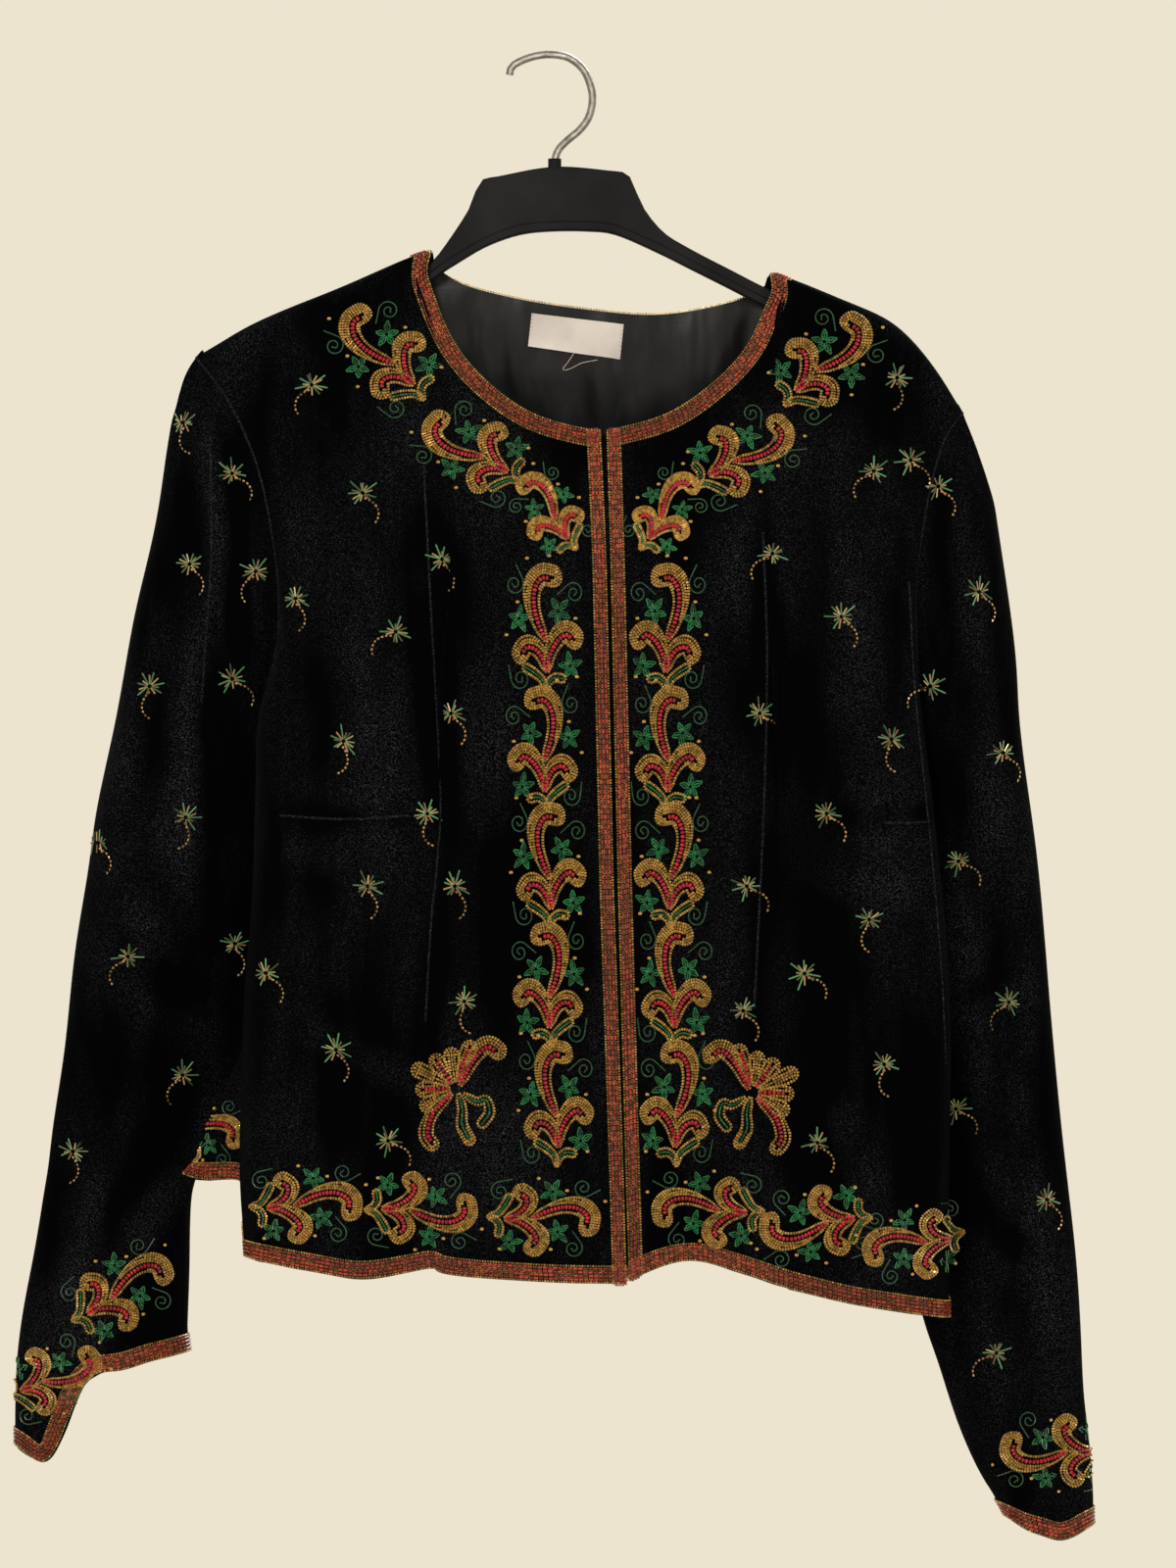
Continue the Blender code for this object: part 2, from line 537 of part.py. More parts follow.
def build_cloth():
    right = front_panel(NECK_RIGHT, SHOULDER_RIGHT, ARMHOLE_RIGHT, SIDE_RIGHT, HEM_RIGHT, CENTRE_RIGHT, -1,
                        FRONT_RIGHT_FOLDS)
    left = front_panel(NECK_LEFT, SHOULDER_LEFT, ARMHOLE_LEFT, SIDE_LEFT, HEM_LEFT, CENTRE_LEFT, 1,
                       FRONT_LEFT_FOLDS)
    back = back_panel(right, left)
    rows, columns = right[0].shape[:2]
    neck_at = right[3]
    for side, panel in (("right", right), ("left", left)):
        every = block(range(rows - 1), range(columns - 1))
        shell("front_" + side, panel[0], panel[1], every, -WALL, 0, "velvet")
        band = [(i, j) for i, j in every if i == 0 or j == 0 or (i == rows - 2 and j < neck_at)]
        shell("front_trim_" + side, panel[0], panel[1], band, TRIM_GAP, TRIM_GAP + TRIM_THICK, "trim")
    points, n, necks = back
    columns = points.shape[1]
    shell("back", points, n, block(range(rows - 1), range(columns - 1)), -WALL, 0, "velvet")
    neck = range(necks[0], necks[1])
    shell("back_neck_trim", points, n, block([rows - 2], neck), TRIM_GAP, TRIM_GAP + TRIM_THICK, "trim")
    hem = block([0], range(columns - 1))
    shell("back_hem_trim", points, n, hem, TRIM_GAP, TRIM_GAP + TRIM_THICK, "trim")
    inner = -WALL - LINING_GAP
    lined = block(range(right[2] + 3, rows - 1), neck)
    lining = shell("lining_back", points, n, lined, inner - LINING_THICK, inner, "lining")
    build_label(lining)
    build_sleeve("right", right, back, 0, SLEEVE_RIGHT, CUFF_RIGHT, SLEEVE_RIGHT_FOLDS, -1)
    build_sleeve("left", left, back, -1, SLEEVE_LEFT, CUFF_LEFT, SLEEVE_LEFT_FOLDS, 1)


def build_sleeve(side, front, back, back_column, table, cuff, folds, sign):
    tube, n = sleeve_tube(front, back, back_column, table, cuff, folds, sign)
    rings, columns = tube.shape[:2]
    every = block(range(rings - 1), range(columns))
    shell("sleeve_" + side, tube, n, every, -WALL, 0, "velvet", wrap=True)
    band = block([rings - 2], range(columns))
    shell("cuff_trim_" + side, tube, n, band, TRIM_GAP, TRIM_GAP + TRIM_THICK, "trim", wrap=True)


def build_label(lining):
    """Bare label laid on the front of the lining."""
    tree = BVHTree.FromPolygons([v.co for v in lining.data.vertices],
                                [tuple(p.vertices) for p in lining.data.polygons])
    corner = np.array(LABEL_CORNERS, float)
    steps = np.linspace(0, 1, LABEL_STEPS)
    points = np.zeros((3, LABEL_STEPS, 3))
    for i, v in enumerate((0.0, 0.5, 1.0)):
        for j, u in enumerate(steps):
            low = corner[3] + (corner[2] - corner[3]) * u
            high = corner[0] + (corner[1] - corner[0]) * u
            x, z = low + (high - low) * v
            hit = tree.ray_cast(Vector((x, -200, z)) * 0.001, Vector((0, 1, 0)))[0]
            points[i, j] = [x, hit.y * 1000 - LABEL_GAP, z]
    n = np.tile([0.0, -1.0, 0.0], (3, LABEL_STEPS, 1))
    cells = block(range(2), range(LABEL_STEPS - 1))
    shell("neck_label", points, n, cells, 0, LABEL_THICK, "label")


def ring_faces(rings, sides):
    faces = []
    for i in range(rings - 1):
        for j in range(sides):
            k = (j + 1) % sides
            faces.append([i * sides + j, i * sides + k, (i + 1) * sides + k, (i + 1) * sides + j])
    faces.append(list(range(sides))[::-1])
    faces.append([(rings - 1) * sides + j for j in range(sides)])
    return faces


def cylinder(name, radius, z_low, z_high, finish):
    turn = 2 * np.pi * np.arange(NUB_SIDES) / NUB_SIDES
    circle = np.stack([NUB_X + radius * np.cos(turn), radius * np.sin(turn)], axis=1)
    vertices = [(x, y, z) for z in (z_low, z_high) for x, y in circle]
    return make_mesh(name, vertices, ring_faces(2, NUB_SIDES), finish)


def add_boolean(obj, cutter, operation):
    cutter.hide_render = True
    cutter.display_type = "WIRE"
    modifier = obj.modifiers.new(operation.lower(), "BOOLEAN")
    modifier.operation = operation
    modifier.solver = "EXACT"
    modifier.object = cutter


def build_hanger():
    top = dense(HANGER_TOP, 6)
    bottom = dense(HANGER_BOTTOM, 6)
    xs = np.linspace(HANGER_TOP[0][0], HANGER_TOP[-1][0], HANGER_STATIONS)
    vertices = []
    for x in xs:
        high = np.interp(x, top[:, 0], top[:, 1])
        low = np.interp(x, bottom[:, 0], bottom[:, 1])
        rib = min(RIB_HEIGHT, 0.4 * (high - low))
        half = [(RIB_HALF - EDGE, low), (RIB_HALF, low + EDGE), (RIB_HALF, low + rib), (WEB_HALF, low + rib + EDGE),
                (WEB_HALF, high - EDGE), (WEB_HALF - EDGE, high)]
        vertices += [(x, y, z) for y, z in half]
        vertices += [(x, -y, z) for y, z in half[::-1]]
    body = make_mesh("hanger_body", vertices, ring_faces(len(xs), 12), "plastic", smooth=False)
    add_boolean(body, cylinder("nub_form", NUB_RADIUS, NUB_BOTTOM, NUB_TOP, "plastic"), "UNION")
    add_boolean(body, cylinder("hole_form", HOLE_RADIUS, HOLE_BOTTOM, NUB_TOP + 5, "plastic"), "DIFFERENCE")


def build_hook():
    line = along(dense(HOOK_LINE), np.linspace(0, 1, HOOK_RINGS))
    run = np.gradient(line, axis=0)
    run /= np.linalg.norm(run, axis=1, keepdims=True)
    out = np.stack([-run[:, 1], run[:, 0]], axis=1)
    turn = 2 * np.pi * np.arange(HOOK_SIDES) / HOOK_SIDES
    vertices = []
    for (x, z), (nx, nz) in zip(line, out):
        for a in turn:
            reach = WIRE_RADIUS * np.cos(a)
            vertices.append((x + nx * reach, -WIRE_RADIUS * np.sin(a), z + nz * reach))
    make_mesh("hanger_hook", vertices, ring_faces(HOOK_RINGS, HOOK_SIDES), "steel")


clear_scene()
build_cloth()
build_hanger()
build_hook()
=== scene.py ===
"""Looks of a beaded velvet evening jacket on its hanger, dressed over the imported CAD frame."""

from __future__ import annotations

import json
import logging
import math
from contextlib import contextmanager
from dataclasses import dataclass, field
from enum import Enum
from typing import ClassVar, Iterable, Iterator, Sequence

import bmesh
import bpy
import numpy as np
from bpy.types import Material, Mesh, Node, NodeSocket, NodeTree, Object
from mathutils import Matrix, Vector
from mathutils.bvhtree import BVHTree
from mathutils.kdtree import KDTree

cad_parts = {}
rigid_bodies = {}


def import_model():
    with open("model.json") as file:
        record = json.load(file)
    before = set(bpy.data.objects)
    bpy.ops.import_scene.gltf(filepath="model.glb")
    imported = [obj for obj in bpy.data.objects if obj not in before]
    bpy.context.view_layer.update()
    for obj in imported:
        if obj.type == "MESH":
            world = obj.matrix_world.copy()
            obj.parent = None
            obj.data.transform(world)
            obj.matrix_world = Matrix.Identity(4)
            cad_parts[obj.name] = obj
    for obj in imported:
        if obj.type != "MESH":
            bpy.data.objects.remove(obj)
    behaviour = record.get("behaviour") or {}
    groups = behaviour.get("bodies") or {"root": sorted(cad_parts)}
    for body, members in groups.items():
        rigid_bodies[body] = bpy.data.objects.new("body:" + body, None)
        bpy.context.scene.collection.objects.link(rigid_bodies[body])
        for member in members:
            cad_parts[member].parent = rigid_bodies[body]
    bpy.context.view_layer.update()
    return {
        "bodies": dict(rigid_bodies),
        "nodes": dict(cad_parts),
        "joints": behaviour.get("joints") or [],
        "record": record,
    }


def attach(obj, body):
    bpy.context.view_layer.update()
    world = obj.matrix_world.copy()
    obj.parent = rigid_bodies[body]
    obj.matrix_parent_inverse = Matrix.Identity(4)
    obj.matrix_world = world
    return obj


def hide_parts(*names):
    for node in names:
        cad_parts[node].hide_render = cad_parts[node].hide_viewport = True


Array = np.ndarray
Colour = tuple[float, float, float]
Place = tuple[float, float, float]
Pair = tuple[float, float]
Knots = Sequence[Pair]
Lots = dict[str, "BeadLot"]
Materials = dict[str, Material]

LOG = logging.getLogger("jacket")
MM = 0.001
SEED = 20
TINY = 1e-9
SPAN_SAMPLES = 12
INTO_BACK = Vector((0, 1, 0))

# Turned edges of the cloth: the armholes by height in metres, the centre front by its line in millimetres.
TURNED_EDGE = 5.0
ARMHOLE_FOOT = -0.45
ARMHOLE_WIDENS = -0.30
ARMHOLE_EASE = 0.05
ARMHOLE_EXTRA = 7.0
CENTRE_LINE = ((-662, -447, -203), (41, 35, 29))
CENTRE_REACH = 4.0
CENTRE_EDGE = (-0.659, -0.205)


class Side(Enum):
    """The side of the garment that a thing is sewn to."""

    FRONT = -1
    BACK = 1


class Wall(Enum):
    """Which wall of a cloth solid the shown cloth follows."""

    OUTER = 1
    INNER = -1


class Row(Enum):
    """A row of the edge band: length and half width of its beads."""

    SEED = (1.45, 0.62)
    BUGLE = (2.7, 0.57)
    WIRE = (3.1, 0.25)


class Tuck(Enum):
    """Edge of a panel that is turned under the next one."""

    NONE = 0
    ARMHOLE = 1
    FRONT = 2


class Cut(Enum):
    """Shape of a glass bead: share of its length that is full, and width at that point."""

    BUGLE = (0.88, 1.0)
    ROUND = (0.5, 0.92)


def spline(knots: Knots, spacing: float) -> Array:
    """Runs a smooth line through given points.

    Args:
        knots: Points of the line, any number of columns.
        spacing: Distance between samples, in the units of the knots.

    Returns:
        Points evenly spaced along the line.
    """
    p = np.asarray(knots, float)
    p = np.vstack([2 * p[0] - p[1], p, 2 * p[-1] - p[-2]])
    t = np.linspace(0, 1, SPAN_SAMPLES + 1)[:-1, None]
    parts = []
    for a, b, c, d in zip(p, p[1:], p[2:], p[3:]):
        square = 2 * a - 5 * b + 4 * c - d
        cube = 3 * b - a - 3 * c + d
        parts.append(0.5 * (2 * b + (c - a) * t + square * t**2 + cube * t**3))
    return evened(np.vstack([*parts, p[-2:-1]]), spacing)


def run_along(line: Array) -> Array:
    """Distance from the start of a line at each of its points."""
    return np.concatenate([[0], np.cumsum(np.linalg.norm(np.diff(line, axis=0), axis=1))])


def sampled(rows: Array, run: Array, at: Array | float) -> Array:
    """Reads rows that are given along a run at other places of it.

    Args:
        rows: Values at the places of the run, any number of columns.
        run: Distances of those places.
        at: Distances to read at.

    Returns:
        One row for each distance.
    """
    return np.column_stack([np.interp(at, run, rows[:, k]) for k in range(rows.shape[1])])


def evened(line: Array, spacing: float) -> Array:
    """Spaces the points of a line evenly.

    Args:
        line: Points along the line.
        spacing: Distance wanted between points.

    Returns:
        The same line with even spacing.
    """
    run = run_along(line)
    count = max(2, int(round(run[-1] / spacing)) + 1)
    return sampled(line, run, np.linspace(0, run[-1], count))


def unit(rows: Array) -> Array:
    """Directions of length 1."""
    return rows / np.maximum(np.linalg.norm(rows, axis=1, keepdims=True), TINY)


def headings(line: Array) -> Array:
    """Unit direction of a line at each of its points."""
    return unit(np.gradient(line, axis=0))


def along_cloth(rows: Array, up: Array) -> Array:
    """Directions without the part of them that leaves a surface facing up."""
    return rows - up * (rows * up).sum(axis=1, keepdims=True)


def smoothed(rows: Array, half: int) -> Array:
    """Mean of each row with so many rows before it and after it."""
    pad = np.pad(rows, ((half, half), (0, 0)), mode="edge")
    window = np.ones(2 * half + 1) / (2 * half + 1)
    return np.column_stack([np.convolve(pad[:, k], window, "valid") for k in range(3)])


def upright(flat: Array) -> Array:
    """Directions in space of directions drawn on the front view."""
    return np.column_stack([flat[:, 0], np.zeros(len(flat)), flat[:, 1]])


def vectors(items: bpy.types.bpy_prop_collection, key: str) -> Array:
    """Reads one vector of each item as an array."""
    values = np.empty(len(items) * 3)
    items.foreach_get(key, values)
    return values.reshape(-1, 3)


def points_of(mesh: Mesh) -> Array:
    """Vertex positions of a mesh as an array."""
    return vectors(mesh.vertices, "co")


def normals_of(mesh: Mesh) -> Array:
    """Vertex normals of a mesh as an array."""
    return vectors(mesh.vertex_normals, "vector")


def put_points(mesh: Mesh, points: Array) -> None:
    """Writes vertex positions back to a mesh."""
    mesh.vertices.foreach_set("co", points.reshape(-1).astype(np.float32))
    mesh.update()


def select_only(obj: Object) -> None:
    """Leaves one object selected and active."""
    for other in bpy.context.view_layer.objects:
        other.select_set(False)
    obj.select_set(True)
    bpy.context.view_layer.objects.active = obj


def apply_modifier(obj: Object, name: str) -> None:
    """Applies one modifier to its mesh."""
    select_only(obj)
    bpy.ops.object.modifier_apply(modifier=name)


def new_object(name: str, data: bpy.types.ID) -> Object:
    """Puts a mesh, lamp or camera in the scene as an object at the origin."""
    obj = bpy.data.objects.new(name, data)
    bpy.context.scene.collection.objects.link(obj)
    return obj


@contextmanager
def edited(mesh: Mesh) -> Iterator[bmesh.types.BMesh]:
    """Opens a mesh for editing, and writes it back afterwards."""
    bm = bmesh.new()
    bm.from_mesh(mesh)
    yield bm
    bm.to_mesh(mesh)
    bm.free()


def face_outward(mesh: Mesh) -> None:
    """Turns all faces of closed shells outward."""
    with edited(mesh) as bm:
        bmesh.ops.recalc_face_normals(bm, faces=bm.faces)


def mark(mesh: Mesh, name: str, values: Array) -> None:
    """Keeps one number for each vertex, for the material to read."""
    mesh.attributes.new(name, "FLOAT", "POINT").data.foreach_set("value", values.astype(np.float32))


def give_thickness(obj: Object, thick: float, crease: float) -> None:
    """Makes a sheet so many millimetres thick, inward, and shades it smooth.

    Args:
        obj: The sheet.
        thick: Thickness in millimetres.
        crease: Angle in degrees from which an edge stays sharp.
    """
    skin = obj.modifiers.new("skin", "SOLIDIFY")
    skin.thickness = thick * MM
    skin.offset = -1
    apply_modifier(obj, "skin")
    select_only(obj)
    bpy.ops.object.shade_smooth_by_angle(angle=math.radians(crease))


def finish_piece(obj: Object, slot: str, material: Material) -> None:
    """Gives a piece its material, and lets it ride on the jacket.

    Args:
        obj: The piece.
        slot: Material slot of the record; not used.
        material: What the piece is made of.
    """
    obj.data.materials.clear()
    obj.data.materials.append(material)
    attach(obj, "root")
    LOG.info("%s: %d faces", obj.name, len(obj.data.polygons))


class Nodes:
    """Short way to lay out a material's node tree."""

    def __init__(self, tree: NodeTree) -> None:
        """Takes over a node tree."""
        self.tree = tree

    def add(self, kind: str, **sockets: object) -> Node:
        """Adds a node and sets or links its inputs.

        Args:
            kind: Node type without its ShaderNode prefix.
            sockets: Input name with spaces as underscores, and a value or an output socket.

        Returns:
            The new node.
        """
        node = self.tree.nodes.new("ShaderNode" + kind)
        self.feed(node, **sockets)
        return node

    def feed(self, node: Node, **sockets: object) -> None:
        """Sets or links inputs of a node by name."""
        for name, value in sockets.items():
            self.put(node.inputs[name.replace("_", " ")], value)

    def put(self, socket: NodeSocket, value: object) -> None:
        """Sets or links one input."""
        if isinstance(value, NodeSocket):
            self.tree.links.new(value, socket)
        else:
            socket.default_value = value

    def find(self, kind: str) -> Node:
        """The tree's own node of a kind."""
        return next(node for node in self.tree.nodes if node.type == kind)

    def ramp(self, factor: NodeSocket, low: Colour, high: Colour, span: Pair = (0.3, 0.7)) -> NodeSocket:
        """Turns a value into a colour between two colours.

        Args:
            factor: The value.
            low: Linear colour at the low end.
            high: Linear colour at the high end.
            span: Values where the colour starts and stops changing.

        Returns:
            The colour socket.
        """
        node = self.add("ValToRGB", Fac=factor)
        for stop, place, colour in zip(node.color_ramp.elements, span, (low, high)):
            stop.position = place
            stop.color = (*colour, 1)
        return node.outputs["Color"]

    def span(self, value: NodeSocket, low: float, high: float) -> NodeSocket:
        """Maps a value from 0..1 to low..high."""
        return self.add("MapRange", Value=value, To_Min=low, To_Max=high).outputs["Result"]

    def scaled(self, value: NodeSocket, by: float, plus: NodeSocket) -> NodeSocket:
        """Multiplies a value and adds another one."""
        node = self.add("Math")
        node.operation = "MULTIPLY_ADD"
        for socket, given in zip(node.inputs, (value, by, plus)):
            self.put(socket, given)
        return node.outputs[0]

    def blend(self, factor: NodeSocket, low: object, high: object) -> NodeSocket:
        """Mixes two colours, each a value or a socket, by a factor."""
        node = self.add("Mix")
        node.data_type = "RGBA"
        for key, given in (("Factor", factor), (6, low), (7, high)):
            self.put(node.inputs[key], given)
        return node.outputs[2]

    def attribute(self, name: str) -> NodeSocket:
        """Reads a number that the mesh keeps for each vertex."""
        node = self.add("Attribute")
        node.attribute_name = name
        return node.outputs["Fac"]


class Groups:
    """Shader groups that more than one finish uses."""

    made: dict[str, NodeTree] = {}

    @classmethod
    def begin(cls, name: str, inputs: Sequence[tuple[str, str]], outputs: Sequence[tuple[str, str]]
              ) -> tuple[Nodes, dict, Node]:
        """Makes an empty group.

        Args:
            name: Name of the group.
            inputs: Name and kind of each input.
            outputs: Name and kind of each output.

        Returns:
            The group's nodes, the sockets that it is given, and its output node.
        """
        tree = cls.made[name] = bpy.data.node_groups.new(name, "ShaderNodeTree")
        for way, sockets in (("INPUT", inputs), ("OUTPUT", outputs)):
            for label, kind in sockets:
                tree.interface.new_socket(label, in_out=way, socket_type="NodeSocket" + kind)
        given = tree.nodes.new("NodeGroupInput").outputs
        return Nodes(tree), given, tree.nodes.new("NodeGroupOutput")

    @classmethod
    def fibre(cls) -> NodeTree:
        """Pile or thread of a cloth: fine relief and broad shading of its nap."""
        if "cloth_fibre" not in cls.made:
            sockets = (("Vector", "Vector"), ("Fine", "Float"), ("Broad", "Float"))
            n, given, out = cls.begin("cloth_fibre", sockets, (("Relief", "Float"), ("Nap", "Float")))
            place = given["Vector"]
            fine = n.add("TexNoise", Vector=place, Scale=given["Fine"], Detail=2.0)
            broad = n.add("TexNoise", Vector=place, Scale=given["Broad"], Detail=3.0, Roughness=0.55)
            n.feed(out, Relief=fine.outputs["Fac"], Nap=broad.outputs["Fac"])
        return cls.made["cloth_fibre"]

    @classmethod
    def bead_tone(cls) -> NodeTree:
        """Colour of glass beads: each bead a little lighter or darker, with cloudy glass."""
        if "bead_tone" not in cls.made:
            sockets = (("Vector", "Vector"), ("Shade", "Float"), ("Dark", "Color"), ("Light", "Color"))
            n, given, out = cls.begin("bead_tone", sockets, (("Colour", "Color"),))
            cloud = n.add("TexNoise", Vector=given["Vector"], Scale=420.0, Detail=1.0)
            share = n.scaled(cloud.outputs["Fac"], 0.35, given["Shade"])
            n.feed(out, Colour=n.blend(share, given["Dark"], given["Light"]))
        return cls.made["bead_tone"]


@dataclass(frozen=True)
class Finish:
    """A material of the jacket."""

    name: str

    def start(self) -> tuple[Material, Nodes, Node, NodeSocket]:
        """Makes an empty material.

        Returns:
            The material, its nodes, its shader and its Object coordinates.
        """
        material = bpy.data.materials.new(self.name)
        material.use_nodes = True
        n = Nodes(material.node_tree)
        return material, n, n.find("BSDF_PRINCIPLED"), n.add("TexCoord").outputs["Object"]

    def group(self, n: Nodes, tree: NodeTree, **sockets: object) -> Node:
        """Places a shader group in the material."""
        node = n.add("Group")
        node.node_tree = tree
        n.feed(node, **sockets)
        return node

    def bump(self, n: Nodes, shader: Node, height: NodeSocket, strength: float, depth: float,
             **under: NodeSocket) -> NodeSocket:
        """Gives the shader a relief, over another one where its Normal is given."""
        node = n.add("Bump", Height=height, Strength=strength, Distance=depth, **under)
        n.feed(shader, Normal=node.outputs["Normal"])
        return node.outputs["Normal"]


@dataclass(frozen=True)
class VelvetFinish(Finish):
    """Black silk velvet: deep pile, random fine speckle and nap patches, with painted highlight on raised
    folds and seams and painted shade in creases.
    """

    # Colour of the deep pile, then the lightest speckle that the painted highlight on raised folds brings
    # out, then the sheen tint.
    deep: Colour = (0.0006, 0.0006, 0.0008)
    speck_and_painted_light: Colour = (0.052, 0.053, 0.067)
    painted_light_and_sheen: tuple[float, float, float, float] = (0.55, 0.6, 0.75, 1)

    def make(self) -> Material:
        """Builds the velvet."""
        material, n, shader, place = self.start()
        fall = n.add("Mapping", Vector=place, Scale=(1.0, 1.0, 0.22))
        fibre = self.group(n, Groups.fibre(), Vector=place, Fine=1550.0, Broad=13.0)
        drape = self.group(n, Groups.fibre(), Vector=fall.outputs["Vector"], Fine=90.0, Broad=26.0)
        speck = n.ramp(fibre.outputs["Relief"], self.deep, self.speck_and_painted_light, (0.52, 0.76))
        nap = n.add("MapRange", Value=drape.outputs["Nap"], From_Min=0.40, From_Max=0.70, To_Min=-0.26,
                    To_Max=0.42)
        # Painted highlight and shade: raised folds lighter, troughs darker, from the per-vertex crease lift,
        # plus random nap patches.
        painted_light_and_nap = n.scaled(n.attribute("painted_light_and_sheen"), 0.9, nap.outputs["Result"])
        n.feed(shader, Base_Color=n.blend(painted_light_and_nap, (*self.deep, 1), speck),
               Roughness=n.span(fibre.outputs["Nap"], 1.0, 0.8), Sheen_Weight=0.008, Sheen_Roughness=0.5,
               Sheen_Tint=self.painted_light_and_sheen, Specular_IOR_Level=0.01)
        self.bump(n, shader, fibre.outputs["Relief"], 0.5, 0.0006)
        return material


@dataclass(frozen=True)
class SatinFinish(Finish):
    """Plain woven satin for the lining and the label."""

    dark: Colour
    light: Colour
    roughness: Pair
    thread: float = 1400.0
    wrinkle: float = 0.0

    def make(self) -> Material:
        """Builds the satin."""
        material, n, shader, place = self.start()
        fibre = self.group(n, Groups.fibre(), Vector=place, Fine=self.thread, Broad=34.0)
        weave = n.add("TexWave", Vector=place, Scale=self.thread / 3, Distortion=1.4, Detail=1.0)
        weave.bands_direction = "Z"
        n.feed(shader, Base_Color=n.ramp(fibre.outputs["Nap"], self.dark, self.light),
               Roughness=n.span(fibre.outputs["Nap"], *self.roughness), Specular_IOR_Level=0.2)
        fall = n.add("Mapping", Vector=place, Rotation=(0.0, 0.35, 0.0), Scale=(1.0, 1.0, 0.3))
        folds = self.group(n, Groups.fibre(), Vector=fall.outputs["Vector"], Fine=200.0, Broad=24.0)
        under = self.bump(n, shader, folds.outputs["Nap"], self.wrinkle, 0.014)
        self.bump(n, shader, weave.outputs["Fac"], 0.06, 0.0003, Normal=under)
        return material


@dataclass(frozen=True)
class PlainFinish(Finish):
    """Plastic, steel or paper: a cloudy tone and gloss, and a grain given as scale, detail and strength."""

    clouds: Pair
    low: Colour
    high: Colour
    roughness: Pair
    grain: Place | None = None
    metal: float = 0.0
    specular: float = 0.5
    grain_depth: ClassVar[float] = 0.0002

    def make(self) -> Material:
        """Builds the material."""
        material, n, shader, place = self.start()
        cloud = n.add("TexNoise", Vector=place, Scale=self.clouds[0], Detail=self.clouds[1]).outputs["Fac"]
        n.feed(shader, Base_Color=n.ramp(cloud, self.low, self.high), Metallic=self.metal,
               Roughness=n.span(cloud, *self.roughness), Specular_IOR_Level=self.specular)
        if self.grain:
            scale, detail, strength = self.grain
            grain = n.add("TexNoise", Vector=place, Scale=scale, Detail=detail)
            self.bump(n, shader, grain.outputs["Fac"], strength, self.grain_depth)
        return material


@dataclass(frozen=True)
class BeadFinish(Finish):
    """Glass bead of one colour; lined beads are part metal."""

    dark: Colour
    light: Colour
    metal: float = 0.0
    roughness: float = 0.22

    def make(self) -> Material:
        """Builds the bead glass."""
        material, n, shader, place = self.start()
        shade = n.attribute("shade")
        tone = self.group(n, Groups.bead_tone(), Vector=place, Shade=shade, Dark=(*self.dark, 1),
                          Light=(*self.light, 1))
        n.feed(shader, Base_Color=tone.outputs["Colour"], Metallic=self.metal,
               Roughness=n.span(shade, self.roughness * 1.5, self.roughness * 0.7), Coat_Weight=0.3,
               Coat_Roughness=0.12)
        return material


GOLD = BeadFinish("bead_antique_gold", (0.055, 0.030, 0.007), (0.57, 0.35, 0.09), 0.45, 0.24)
CRIMSON = BeadFinish("bead_crimson", (0.045, 0.003, 0.010), (0.42, 0.011, 0.028), 0.05)
EMERALD = BeadFinish("bead_emerald", (0.002, 0.014, 0.005), (0.018, 0.16, 0.055), 0.05)
VINE = BeadFinish("bead_vine_green", (0.002, 0.010, 0.005), (0.020, 0.085, 0.038), 0.1, 0.34)
RUST = BeadFinish("bead_rust", (0.030, 0.003, 0.002), (0.42, 0.040, 0.022), 0.2)
BRONZE = BeadFinish("bead_bronze", (0.045, 0.026, 0.011), (0.52, 0.32, 0.14), 0.4, 0.24)
MOSS = BeadFinish("bead_moss", (0.008, 0.024, 0.012), (0.10, 0.28, 0.13), 0.25, 0.2)
THREAD = BeadFinish("thread_ecru", (0.42, 0.37, 0.32), (0.62, 0.56, 0.50), 0.0, 0.8)
PLASTIC = PlainFinish("hanger_matt_plastic", (22.0, 4.0), (0.003, 0.003, 0.0035), (0.009, 0.009, 0.010),
                      (0.7, 0.5), (900.0, 3.0, 0.2), specular=0.1)
STEEL = PlainFinish("hook_satin_steel", (260.0, 4.0), (0.16, 0.15, 0.14), (0.34, 0.32, 0.30), (0.22, 0.42),
                    (260.0, 4.0, 0.08), metal=1.0)
PAPER = PlainFinish("floor_paper", (3.0, 2.0), (0.50, 0.47, 0.40), (0.54, 0.51, 0.44), (0.9, 0.9))


